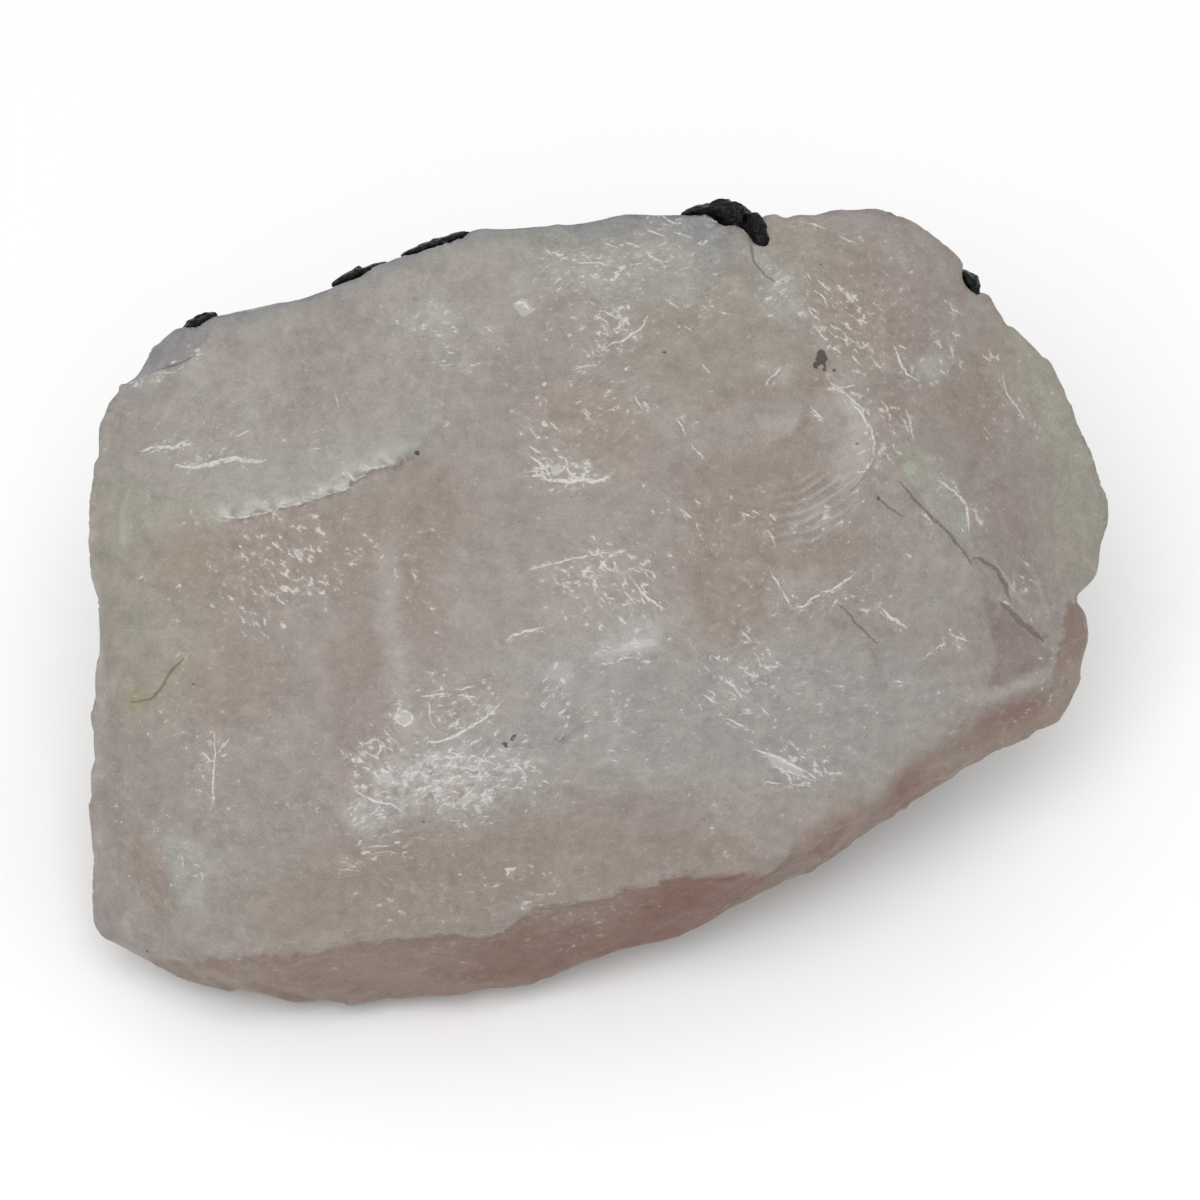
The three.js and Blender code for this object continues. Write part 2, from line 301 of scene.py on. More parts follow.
CREST = [
    (-48.5, 21.0), (-46.0, 21.6), (-43.0, 25.6), (-40.0, 27.6), (-34.0, 28.8), (-31.0, 29.6), (-26.5, 31.0),
    (-21.0, 33.4), (-16.0, 35.6), (-10.0, 37.0), (-5.0, 37.0), (-2.0, 37.2), (0.5, 38.0), (5.0, 38.2),
    (8.0, 38.6), (11.5, 39.5), (14.0, 38.4), (18.0, 38.3), (25.0, 37.9), (30.0, 37.5),
]
CREASE = [(-46.2, -9.8), (-44.4, -9.4), (-43.0, -7.9), (-41.8, -6.4), (-40.8, -5.5)]
RIB = [(-21.2, 5.5), (-20.6, -2.0), (-19.6, -8.0), (-18.8, -13.0)]
SCAR = [
    (29.4, 14.8), (32.1, 14.8), (32.3, 13.2), (33.5, 11.7), (34.9, 10.4), (35.9, 8.8), (36.0, 6.5),
    (36.2, 5.3), (35.6, 5.0), (34.6, 6.0), (33.0, 7.8), (31.5, 9.4), (30.2, 11.0), (29.4, 13.0),
]
FRACTURED = [
    (-25.5, -20.5), (-24.0, -17.5), (-21.0, -15.0), (-18.0, -14.0), (-13.0, -14.8), (-8.0, -15.0),
    (-5.5, -16.0), (-6.5, -17.0), (-10.0, -18.5), (-13.0, -19.5), (-16.0, -20.7), (-20.0, -21.6),
    (-25.0, -22.3),
]
LILAC_FACET = [
    (-45.8, 21.8), (-44.0, 24.2), (-42.5, 26.0), (-40.9, 26.5), (-39.5, 26.8), (-38.0, 27.3),
    (-38.8, 25.8), (-39.8, 24.4), (-42.0, 23.0),
]
# a triangular facet that faces down and to the right, painted darker as shade
SHADED_TRIANGLE = [
    (37.3, 0.8), (39.0, -0.3), (43.0, -3.6), (44.2, -5.2), (42.9, -7.0), (40.0, -8.2), (37.8, -8.8),
    (38.5, -6.0), (38.2, -3.0),
]
FAN = [(36.6, 4.3), (39.6, 4.6), (43.0, 3.0), (44.8, -1.0), (45.0, -5.0), (43.0, -3.4), (40.0, -0.3),
    (39.2, 1.7)]
SHARP_LINES = [LEDGE[:12], CORNER_EDGE, CRESCENT[:8], SCAR_FOOT, CRACK, FAN_HEAD, STEP_LEFT, STEP_RIGHT]

# The coarse squares are cut in four where the picture shows them, and in sixteen along sharp lines.
FINEST = 4
coarse = box_squares(QUARTZ_CELLS, FINEST)
unit, faces = joined(coarse, QUARTZ_CELLS, FINEST)
corners = on_stone(unit)[np.array(faces)]
across = np.cross(corners[:, 2] - corners[:, 0], corners[:, 3] - corners[:, 1])
shown = across @ OUT > -0.25 * np.linalg.norm(across, axis=1)
seen = as_seen(corners.mean(1))
sharp = shown & (np.min([from_line(seen, line, 3.0)[0] for line in SHARP_LINES], axis=0) < 1.2)
squares = np.concatenate([coarse[~shown], quartered(coarse[shown & ~sharp]),
    quartered(quartered(coarse[sharp]))])
unit, faces = joined(squares, QUARTZ_CELLS, FINEST)
stone = on_stone(unit)

# Faces of more than three corners are split round their first corner, to find which way each faces.
fans = np.array([(face[0], face[k], face[k + 1]) for face in faces for k in range(1, len(face) - 1)])
pairs = np.array([(face[k - 1], face[k]) for face in faces for k in range(len(face))])
pairs = np.unique(np.sort(pairs, axis=1), axis=0)
ends = np.concatenate([pairs, pairs[:, ::-1]])
counts = np.bincount(ends[:, 0], minlength=len(stone)).astype(float)

# Old breaks are a little rounded: the main face's low edges over a few millimetres, the others less.
facing = facing_of(stone, fans)
seen = as_seen(stone)
towards = facing @ OUT
main_face = smooth_step(0.45, 0.8, towards)
nearest_sharp = np.min([from_line(seen, line, 3.0)[0] for line in SHARP_LINES], axis=0)
crisp = np.exp(-(nearest_sharp / 1.3) ** 2)
SHARP_ROUNDS, SOFT_ROUNDS = 1, 60
for _ in range(SHARP_ROUNDS):
    stone = neighbour_mean(stone, ends, counts)
broad_face = smooth_step(0.78, 0.96, towards)[:, None]
for _ in range(10):
    broad_face = neighbour_mean(broad_face, ends, counts)
softness = 0.03 + 0.97 * smooth_step(0.35, 0.75, broad_face) * (1 - crisp)[:, None]
soft = stone.copy()
for _ in range(SOFT_ROUNDS):
    soft += softness * (neighbour_mean(soft, ends, counts) - soft)
edge_height = np.einsum("ij,ij->i", stone - soft, facing_of(soft, fans)) / MM
stone = soft
facing = facing_of(stone, fans)
towards = facing @ OUT
main_face = smooth_step(0.45, 0.8, towards)
front = smooth_step(-0.1, 0.3, towards)
seen = as_seen(stone)
right, up, out = from_heart(stone)
place = stone / MM

# The relief, in millimetres along the way that the surface faces.
wander = np.stack([gradient_noise(place, 3.0, seed) for seed in (11, 12)], 1)
felt = seen + wander * 0.22
off_main = 1 - main_face
relief = 0.30 * gradient_noise(place, 17, 1) * (1 - 0.6 * main_face)
relief += 0.15 * gradient_noise(place, 7, 2) * (1 - 0.4 * main_face)
relief += 0.10 * gradient_noise(place, 2.6, 3) + 0.05 * gradient_noise(place, 1.2, 4)
relief += 0.018 * gradient_noise(place, 0.6, 5) * front


def shell_steps(spacing, height, way, seed):
    """Low steps where flakes came off one behind the other: the surface climbs slowly along a way and
    drops back at each step, along lines that wander with noise, and only in patches."""
    way = np.array(way, float) / np.linalg.norm(way)
    count = place @ way / spacing + 1.3 * gradient_noise(place, 12, seed)
    part = count - np.floor(count)
    patch = smooth_step(-0.1, 0.5, gradient_noise(place, 15, seed + 1))
    return height * (part - smooth_step(0.8, 1.0, part)) * patch


def shells(count, depth, step, seed):
    """Shallow shells broken out side by side, each deepest in its middle and meeting its neighbours at
    a ridge. Their middles are random points of the surface; a point belongs to the shell whose middle
    is nearest, by squared distance over the square of the shell's own size. Each shell also lies a
    little higher or lower than the next, so that a small step is left between them."""
    rng = np.random.default_rng(seed)
    middles = place[rng.integers(0, len(place), count)]
    sizes = rng.uniform(0.6, 1.5, count)
    heights = rng.uniform(-step, step, count)
    shaken = place + wander * np.array([1.2, 1.2]) @ np.array([[1.0, 0.0, 0.4], [0.0, 1.0, 0.4]])
    nearest, height = np.full(len(place), np.inf), np.zeros(len(place))
    for middle, size, level in zip(middles, sizes, heights):
        distance = ((shaken - middle) ** 2).sum(1) / size ** 2
        height = np.where(distance < nearest, level, height)
        nearest = np.minimum(nearest, distance)
    typical = np.median(nearest)
    return depth * np.clip(nearest / typical - 1.3, -1.3, 0.6) + height


relief += off_main * shells(90, 0.26, 0.16, 7)
relief += off_main * shells(520, 0.07, 0.07, 8)
relief += off_main * shell_steps(8.0, 0.7, (0.9, 0.3, 0.4), 21)
relief += off_main * shell_steps(4.0, 0.4, (-0.3, 0.5, 0.9), 31)
relief += off_main * 0.10 * gradient_noise(place * np.array([1.0, 1.0, 0.25]), 2.2, 41)
chips = smooth_step(0.05, 0.5, gradient_noise(place, 4.5, 51))
relief -= 0.9 * chips * np.clip(edge_height, 0, 0.8)


def step_along(line, width, height, fade=0.12):
    """A small step: the left side of the line stands proud, and falls away from it over the width."""
    away, side, share = from_line(felt, line, 4 * width)
    ends_fade = smooth_step(0, fade, share) * smooth_step(0, fade, 1 - share)
    return height * np.exp(-(away / width) ** 2) * np.where(side > 0, 1.0, -0.4) * ends_fade * front


relief += step_along(LEDGE[:12], 1.5, 0.34, 0.05)
relief += step_along(LEDGE[10:], 1.8, 0.14)
relief += step_along(LEDGE_TAIL, 1.3, 0.12)
relief += step_along(STEP_LEFT, 0.8, 0.16)
relief += step_along(STEP_RIGHT, 0.8, 0.2)
relief += step_along(CORNER_EDGE[::-1], 0.9, 0.26)
relief += step_along(OLIVE_FOOT, 1.8, 0.12)
relief += step_along(CRESCENT[::-1], 1.2, 0.24)
relief += step_along(SCAR_FOOT, 0.9, 0.22)
relief += step_along(SCAR_HEAD, 0.8, 0.14)
relief += step_along(FAN_HEAD, 0.7, 0.16)
relief += step_along(CRACK, 0.7, 0.22)
relief += step_along(BAND_EDGE[:24], 1.4, 0.26, 0.03)


def ridge_along(line, width, height):
    """A low ridge, or a groove where its height is below 0, that fades towards its ends."""
    away, _, share = from_line(felt, line, 4 * width)
    return height * np.exp(-(away / width) ** 2) * np.sin(np.pi * np.clip(share, 0, 1)) ** 0.5 * front


relief += ridge_along(RIB, 1.2, 0.16)
relief += ridge_along(VEIN, 0.5, -0.22)
relief += ridge_along(CORNER_RIB, 0.7, 0.2)
relief += ridge_along(CREASE, 0.3, -0.12)
scar = smooth_step(-0.3, 0.5, inside_ring(felt, SCAR))
relief -= 0.28 * scar * front
relief -= 0.22 * smooth_step(-0.4, 0.8, inside_ring(felt, SHADED_TRIANGLE)) * front

# Fine ripples spread from where the crescent's flake was struck, and striae fan out towards the lower
# right corner, run down the left side and follow the crest.
ripple_zone = smooth_step(-0.8, 0.8,
    inside_ring(felt, [(17.5, 6.0), (20.5, 5.5), (24.2, 9.0), (24.6, 12.0), (21.0, 13.0), (17.5, 11.0)]))
RIPPLE_CENTRE = np.array([16.0, 20.0])
relief += 0.13 * ripple_zone * np.sin(np.linalg.norm(felt - RIPPLE_CENTRE,
    axis=1) * 2 * math.pi / 0.95) * front
FAN_POINT = np.array([45.3, -6.0])
fan_offset = seen - FAN_POINT
fan_angle = np.arctan2(fan_offset[:, 1], fan_offset[:, 0])
fan_zone = smooth_step(-0.6, 0.6, inside_ring(felt, FAN)) * front
fan_striae = gradient_noise(np.stack([fan_angle * 14, np.hypot(*fan_offset.T) / 9, out * 0], 1), 1.0, 63)
relief += 0.12 * fan_zone * fan_striae
left_side = smooth_step(0.35, 0.8, -(facing @ RIGHT)) * front
side_striae = gradient_noise(np.stack([right * 1.2, up / 9.0, out], 1), 0.9, 71)
relief += 0.16 * left_side * side_striae
crest_away = from_line(seen, CREST, 4.0)[0]
crest_striae = gradient_noise(np.stack([crest_away * 1.6, right / 6.0, out * 0], 1), 1.0, 73)
relief += 0.12 * np.exp(-(crest_away / 1.8) ** 2) * crest_striae * front
shattered = smooth_step(-0.8, 1.2, inside_ring(felt, FRACTURED)) * front
relief += shattered * (0.10 * gradient_noise(place, 1.5, 61) + 0.10 * gradient_noise(place, 3.2, 62))
relief += 0.05 * np.exp(-((seen[:, 1] + 25.5) / 3.5) ** 2) * gradient_noise(
    np.stack([right / 5.0, up * 1.4, out * 0], 1), 1.0, 75) * front
relief *= smooth_step(0.0, 1.2, place[:, 2])  # the resting break stays flat

# small corners and coves of the outline: where, how wide, and how far right and up the rim goes
RIM_NUDGES = [
    ((-48.9, 21.4), 1.5, (-1.2, 1.0)), ((-50.0, 17.5), 2.2, (-0.5, 0.0)), ((-49.3, -1.5), 4.5, (0.6, 0.0)),
    ((-50.2, 9.5), 4.0, (-0.5, 0.0)), ((-49.4, -16), 4.0, (0.3, 0.0)),
    ((-49.8, -30.5), 2.5, (-0.3, 0.0)), ((-48.4, -34.6), 1.6, (0.3, 0.5)), ((49.6, 9), 5.0, (0.5, 0.0)),
    ((47.6, 0.6), 1.3, (-1.2, 0.0)), ((47.3, -3.6), 1.6, (0.5, 0.0)),
    ((28, 38), 6.0, (0.1, 0.35)), ((3, 38), 4.0, (0.0, 0.45)), ((-28, 30.2), 4.0, (0.0, -0.3)),
    ((-40.8, 27.2), 1.6, (-0.2, 0.2)),
]
nudge = np.zeros((len(stone), 2))
for middle, wide, way in RIM_NUDGES:
    nudge += np.exp(-(np.linalg.norm(seen - np.array(middle), axis=1) / wide) ** 2)[:, None] * np.array(way)
nudge *= smooth_step(0.9, 0.4, np.abs(towards))[:, None]
stone = stone + (nudge[:, :1] * RIGHT + nudge[:, 1:] * UP_FACE) * MM
stone = stone + facing * relief[:, None] * MM
stone[:, 2] = np.maximum(stone[:, 2], 0.0)

# The quartz: its colours
# Milky pinkish grey, browner in some breaks and greener in others, with whitish veils and frosting
# along cracks. Each break's tint is laid over the ones before it, within an oval, a ring or a line.
# how much darker a base colour is than what it looks like under this scene's light, in red, green and blue
LIGHT_SHARE = np.array([0.73, 0.712, 0.694])


def tint(red, green, blue):
    """The base colour, as linear shares, of what looks like these display levels from 0 to 255."""
    return (np.array([red, green, blue]) / 255) ** 2.2 * LIGHT_SHARE


MILK = tint(159, 151, 145)
SLAB = tint(164, 160, 153)
MIST = tint(167, 170, 163)
CREST_GREY = tint(138, 145, 150)
LILAC = tint(144, 141, 145)
MOSS = tint(154, 149, 138)
STRAW = tint(162, 159, 145)
HONEY = tint(160, 151, 118)
TAN = tint(153, 140, 126)
BROWN = tint(149, 134, 122)
RUST = tint(149, 130, 120)
MAUVE = tint(150, 137, 133)
PLUM = tint(142, 128, 124)
CLOUD = tint(162, 159, 156)
VEIL = tint(182, 178, 175)
JADE = tint(166, 168, 157)
RIM_GREEN = tint(163, 160, 147)
# darker, pinker tints that paint the shade of the underside over the stone's own pink
SHADED_BLUSH = tint(142, 120, 109)
DEEP_SHADED_BLUSH = tint(128, 93, 80)
INCLUSION = tint(52, 36, 30)
FROST = tint(196, 197, 192)

spread = seen + np.stack([gradient_noise(place, 5.0, seed) for seed in (81, 82)], 1) * 1.6
spread += np.stack([gradient_noise(place, 1.6, seed) for seed in (83, 84)], 1) * 0.5
close = felt + np.stack([gradient_noise(place, 0.9, seed) for seed in (85, 86)], 1) * 0.12

# Away from the picture's side the same tints come in clouds.
cloud = [gradient_noise(place, size, seed) for size,
    seed in ((14, 91), (9, 92), (6, 93), (11, 94), (4, 95))]
colour = np.tile(MILK, (len(stone), 1))


def lay(shade, mask, strength=1.0):
    """A tint laid over the colour so far, as strongly as the mask says."""
    global colour
    colour = colour + (np.clip(mask, 0, 1) * strength)[:, None] * (shade - colour)


hidden = 1 - front
step_veils = gradient_noise(place * np.array([0.5, 1.0, 1.4]), 3.0, 96)
lay(TAN, smooth_step(0.05, 0.5, cloud[0]) * hidden, 0.8)
lay(SLAB, smooth_step(0.0, 0.5, -cloud[0]) * hidden, 0.7)
lay(MOSS, smooth_step(0.1, 0.5, cloud[1]) * hidden, 0.7)
lay(MAUVE, smooth_step(0.1, 0.5, cloud[3]) * hidden, 0.7)
lay(CLOUD, smooth_step(0.1, 0.45, cloud[2]) * hidden, 0.7)
lay(VEIL, smooth_step(0.25, 0.6, cloud[4]) * smooth_step(0.0, 0.4, cloud[1]) * hidden, 0.6)
lay(FROST, smooth_step(0.3, 0.6, step_veils) * smooth_step(-0.1, 0.4, cloud[4]) * hidden, 0.3)
# low on the hidden sides the stone is painted darker and pinker in patches: painted shade near the floor
lay(SHADED_BLUSH, smooth_step(0.1, 0.5, -cloud[3]) * smooth_step(16.0, 3.0, place[:, 2]) * hidden, 0.8)

RINGS = [
    # tint, strength, softness of the edge in millimetres, and corners
    (SLAB, 0.85, 0.8,
        [(-51, 22), (-46, 23), (-35, 30), (-20, 36), (-8, 39), (-6, 30), (-11.6, 24), *LEDGE[::-1],
                       (-40, 6.8), (-45, 8), (-51, 9)]),
    (MOSS, 0.85, 0.7,
        [(2, 31), (6, 33), (13, 32.5), (14.6, 33.5), (15, 31), (17, 28.2), (19, 26), (21, 25.3),
                       (20.5, 21.4), *OLIVE_FOOT[5::-1], (3.5, 20), (2, 24), (0, 28)]),
    (RIM_GREEN, 0.75, 1.2,
        [(36.5, 31), (38.8, 30), (40.5, 28), (45, 25), (47, 19.5), (50, 15), (51, 7), (50, 2),
                            (47.3, 1), (46, 3), (45, 6), (44, 12), (41.5, 18), (39.7, 22), (38.6, 26)]),
    (BROWN, 0.8, 1.0, [(7.5, 13), (11, 15.5), (14.5, 15), (16, 18), (19.6, 19), (21.5, 15), (22.5, 12.5),
                       (19.5, 11.5), (18.5, 7.5), (22, 7.2), (24.5, 8.6), (24.3, 3.0), (20, 3), (16.5, 3.2),
                       (15.5, -2.5), (10, -3.5), (8.3, 0), (8, 6)]),
    (CLOUD, 0.75, 2.2, [(-10, -5), (0, -2), (6, -1), (8, -5), (20, -4), (30, -4), (37, -7), (34, -11.5),
                        (29, -15.5), (27, -18.5), (15, -18.8), (0, -18), (-10, -19.5), (-24, -22),
                        (-25.5, -20), (-20, -14.5), (-10, -11)]),
    (BROWN, 0.55, 1.8, [(-26, -23), (-10, -22.5), (0, -20.5), (5, -21), (10, -22), (16, -24.5), (14, -26.8),
                        (7, -27), (1, -29), (-6, -29.8), (-10, -32), (-22, -33), (-32, -33.5), (-34, -30)]),
    (VEIL, 0.36, 0.9, FRACTURED),
    # the whitish patch here is partly the stone's own veil and partly painted sheen, where the break shines
    (VEIL, 0.75, 0.6, [(-1, -5.5), (0, -3.6), (2.5, -2.2), (5.5, -1.4), (6, -4.6), (3, -4.9), (1, -5.3)]),
    (CLOUD, 0.7, 0.3, [(20.4, -0.3), (21.6, -0.4), (22.1, -3.3), (21.0, -3.3)]),
    (VEIL, 0.55, 0.4, [(15.2, 18.3), (17.2, 18.2), (19.3, 18.9), (19.3, 17.7), (18.7, 16.5), (17.5, 16.2),
                       (16.3, 15.5), (15.6, 16.8)]),
    (VEIL, 0.55, 0.5, [(22.5, 21.6), *CRESCENT[2:7], (25.0, 11.8), (23.6, 10.8), (22.9, 12.6), (22.3, 14.5),
                       (24.6, 16), (24.0, 18), (22.8, 19.8)]),
    (MILK, 0.6, 0.7, [(18, 6.4), (20.5, 6.0), (23.6, 8.6), (24.2, 11), (22, 12.4), (18.5, 11)]),
    (JADE, 0.9, 0.35, SCAR),
    (STRAW, 0.7, 0.5, [(29.3, 15.4), (32.0, 15.2), (32.2, 13.4), (30.6, 13.0), (29.6, 13.6)]),
    (JADE, 0.7, 0.45, [(31.2, 21.5), (34.2, 22.0), (33.6, 23.0), (33.3, 24.4), (31.5, 24.2), (30.8, 22.5)]),
    # PLUM on this triangle is painted shade: the facet faces down and to the right, away from the light
    (PLUM, 0.85, 0.4, SHADED_TRIANGLE),
    (MILK, 0.7, 0.5, FAN),
    (CLOUD, 0.8, 0.5, [(45.2, 1), (47.3, 1), (47.2, -2.5), (46.2, -5.5), (45.3, -5.5)]),
    (MIST, 0.75, 0.45, [(-43.6, -22.3), (-42.5, -25.5), (-41.9, -29), (-41.2, -30.3), (-39.3, -30.2),
                        (-38.8, -27), (-37, -25), (-41, -23)]),
    (LILAC, 0.8, 0.35, LILAC_FACET),
    (tint(98, 98, 110), 0.85, 0.15,
        [(-30.5, 29.8), (-29.6, 30.6), (-28, 30.9), (-26.6, 31.0), (-27.2, 30.1),
                                     (-29, 29.7)]),
    (LILAC, 0.7, 0.4, [(-50.5, -29.5), (-48.3, -30), (-47.8, -33), (-49.1, -34.2)]),
]
for shade, strength, softness, ring in RINGS:
    lay(shade,
        smooth_step(-softness, softness, inside_ring(close if softness < 0.7 else spread, ring)) * front,
        strength)

OVALS = [
    # tint, strength, middle, half sizes and tilt in degrees
    (STRAW, 0.6, (-47, 3), (3.5, 9), 0), (STRAW, 0.6, (-45, -4), (5, 9), 0),
    (HONEY, 0.55, (-45.8, -9.7), (2.0, 1.1), 20),
    (STRAW, 0.5, (-42, 8), (6, 3), 0), (BROWN, 0.75, (-30, 5), (12, 4.5), 12),
    (TAN, 0.7, (-39.5, 3.5), (4, 2.6), 0),
    (RUST, 0.55, (-24.3, -6), (2.0, 9), 0), (RUST, 0.65, (-17.6, 3), (2.2, 8), 0),
    (MAUVE, 0.7, (-24, -13), (3, 4), 0),
    (BROWN, 0.4, (-36, -8), (6, 7), 0), (BROWN, 0.45, (-18, 10), (5, 4), 0),
    (MAUVE, 0.45, (-7, 8), (3.5, 4.5), 0),
    (MAUVE, 0.5, (5.5, 9), (3, 6.5), 0), (TAN, 0.75, (-1, 17.5), (5, 3.4), -35),
    (MAUVE, 0.4, (-8.5, 20), (3, 5), 15),
    (MIST, 0.75, (-29, 12.6), (9, 2.2), 14), (MIST, 0.6, (-19.5, 15.6), (4, 1.3), 35),
    (MILK, 0.6, (-27, 22), (3, 9), -20),
    # the pale oval at (2, 33) is partly the stone's greenish grey and partly painted sheen
    (MAUVE, 0.35, (-29, 24), (2.2, 6), -20), (MIST, 0.65, (2, 33), (8, 3), -3),
    (CREST_GREY, 0.75, (9, 36.2), (5, 1.8), -22),
    (CREST_GREY, 0.45, (2, 37), (5, 1.4), 0), (STRAW, 0.75, (19.5, 34.5), (4.5, 3), -25),
    (TAN, 0.75, (25, 29), (6, 5), -40),
    (RUST, 0.7, (28.4, 18.8), (1.6, 2.8), 0), (BROWN, 0.75, (37, 20), (2.2, 5), 0),
    (RUST, 0.35, (33, 19.3), (3, 2.2), 0),
    (MAUVE, 0.4, (32, 31), (5, 5), -45), (MAUVE, 0.7, (39.5, 8.5), (3.2, 6), 15),
    (TAN, 0.5, (20.5, 23), (1.6, 1.6), 0),
    (MAUVE, 0.7, (42.3, 2), (1.3, 2.6), 20), (VEIL, 0.7, (45.3, -4.6), (0.6, 1.5), 0),
    (STRAW, 0.5, (45, 10), (1.5, 6), 0),
    (VEIL, 0.55, (-3.8, -7.6), (1.3, 1.8), -30), (MAUVE, 0.4, (-12.5, -9.0), (4.0, 1.2), 5),
    (VEIL, 0.35, (0.5, -11), (1.5, 3), 0),
    (CLOUD, 0.5, (-34, -15), (4, 2.2), -15), (BROWN, 0.55, (-44.5, -27), (1.5, 4.5), 12),
    (MOSS, 0.35, (-35, -28), (5, 4), 0),
    (MAUVE, 0.5, (4, -20.7), (6, 1.6), -12), (TAN, 0.4, (-14, -26), (10, 2.5), 4),
    (MAUVE, 0.35, (25.5, 4), (2, 8), 0),
    (CLOUD, 0.5, (33, 2), (3, 4), 0), (VEIL, 0.5, (-16.5, 28), (1.9, 1.6), 0),
    (VEIL, 0.35, (-34.2, 18.8), (0.8, 3), 0),
    (MIST, 0.7, (17.4, 30.3), (1.3, 3.6), 35), (VEIL, 0.5, (17.0, 22.4), (1.0, 0.8), 0),
    (MAUVE, 0.35, (-31, -19), (5, 4), 0),
    (TAN, 0.5, (20.8, 22.6), (1.4, 1.3), 0), (tint(112, 110, 110), 0.75, (-3.9, -13.3), (0.9, 0.45), -15),
]
for shade, strength, middle, half, tilt in OVALS:
    lay(shade, blot(spread, middle, half, tilt, 0.7) * front, strength)

STREAKS = [
    # tint, strength, half width in millimetres and line
    (CREST_GREY, 0.75, 1.1, CREST[1:13]), (LILAC, 0.5, 0.5, CREST[12:]), (VEIL, 0.45, 1.0, RIB),
    (BROWN, 0.6, 1.1, OLIVE_FOOT[2:]),
    (CLOUD, 0.5, 0.8, [(-14.2, 5), (-13.8, -2.5)]), (VEIL, 0.5, 0.6, CORNER_RIB),
    (JADE, 0.6, 0.35, [(35.5, 31.4), (36.4, 30.2), (37.5, 28.8)]),
    (RIM_GREEN, 0.7, 1.3, [(44.3, 24), (46, 19.8), (48.5, 15), (48.6, 13), (49.9, 7.5), (48.8, 2.2)]),
    (TAN, 0.6, 0.5, [(6.8, 5.7), (8.2, 4.2)]), (HONEY, 0.55, 0.35, CREASE),
    (VEIL, 0.5, 0.5, [(-49.6, 12), (-50.2, 4), (-49.2, -8), (-49.4, -25)]),
    (VEIL, 0.4, 0.6, CORNER_EDGE), (MIST, 0.45, 0.5, VEIN),
]
for shade, strength, width, line in STREAKS:
    lay(shade, np.exp(-(from_line(close, line)[0] / width) ** 2) * front, strength)

ledge_away, ledge_side, _ = from_line(close, LEDGE[:9])
frost = smooth_step(2.2, 0.2, ledge_away) * (ledge_side > 0) * smooth_step(-0.55, 0.35,
    gradient_noise(place, 0.8, 87))
lay(FROST, frost * front, 0.8)
crest_dark = blot(spread, (8.6, 37.2), (5.5, 1.7), -14, 0.6) * smooth_step(-0.1, 0.4,
    gradient_noise(place * 1.0, 1.1, 88))
lay(tint(106, 112, 119), crest_dark * front, 0.75)
# the band below the main face's lower edge faces down and away from the light; it is painted darker and
# pinker: painted shade over the stone's own pink and brown
band_away, band_side, _ = from_line(close, [(-60, -35.6), *BAND_EDGE, (44.2, -7.0), (44.6, -20.0)], 12.0)
band_blur = 0.25 + 0.9 * smooth_step(12, 20,
    seen[:, 0])  # the edge is sharp at the left and soft at the right
underside_shade = smooth_step(-1, 1, -band_away * band_side / band_blur) * (seen[:, 1] < 0) * front
lay(VEIL,
    ripple_zone * smooth_step(0.2, 0.9,
        np.sin(np.linalg.norm(felt - RIPPLE_CENTRE, axis=1) * 2 * math.pi / 0.95)) * front, 0.4)
lay(VEIL, fan_zone * smooth_step(0.05, 0.5, fan_striae), 0.6)
left_strip = smooth_step(-45.8, -47.2, seen[:, 0]) * front
left_strip = left_strip * smooth_step(-0.4, 0.2,
    gradient_noise(place * np.array([1.0, 1.0, 0.35]), 2.4, 97))
# its veils are broader than its striae, as colours finer than the mesh would break up into dashes
strip_veils = gradient_noise(np.stack([right, up / 6.0, out], 1), 2.2, 98)
lay(MAUVE, left_strip * smooth_step(0.0, -0.5, strip_veils), 0.5)
lay(FROST, left_strip * smooth_step(0.1, 0.5, strip_veils), 0.5)
broken = smooth_step(-0.5, 0.8, inside_ring(close, FRACTURED)) * front
lay(PLUM, broken * smooth_step(0.1, 0.5, gradient_noise(place * np.array([1.0, 1.6, 1.6]), 1.0, 89)), 0.75)
lay(FROST, broken * smooth_step(0.1, 0.5, gradient_noise(place * np.array([1.6, 1.0, 1.0]), 0.8, 90)), 0.42)
# painted shade on the underside band
lay(SHADED_BLUSH, underside_shade, 0.92)
for shade, strength, middle, half, tilt in [
    (DEEP_SHADED_BLUSH, 0.9, (7, -31), (9, 3.2), 24), (DEEP_SHADED_BLUSH, 0.6, (-8, -35), (9, 2.6), 5),
    (DEEP_SHADED_BLUSH, 0.65, (29.5, -18.8), (1.6, 2.4), -35),
    (DEEP_SHADED_BLUSH, 0.5, (40, -10.5), (4.5, 1.8), 30), (TAN, 0.7, (34, -15.5), (3.4, 1.1), 33),
    (TAN, 0.8, (41, -13), (2.2, 1), 30),
    (TAN, 0.7, (-36.5, -36.4), (4.5, 1.6), 0), (BROWN, 0.5, (-20, -35.5), (7, 2), 0),
]:
    lay(shade, blot(spread, middle, half, tilt, 0.8) * underside_shade, strength)
corner = smooth_step(-0.3, 0.3,
    inside_ring(close,
        [(45, -6), (48, -5.8), (48, -9), (46.5, -11.5), (42.8, -12.2), (43.7, -9), (44.4, -7.4)]))
lay(BROWN, corner * front, 0.8)
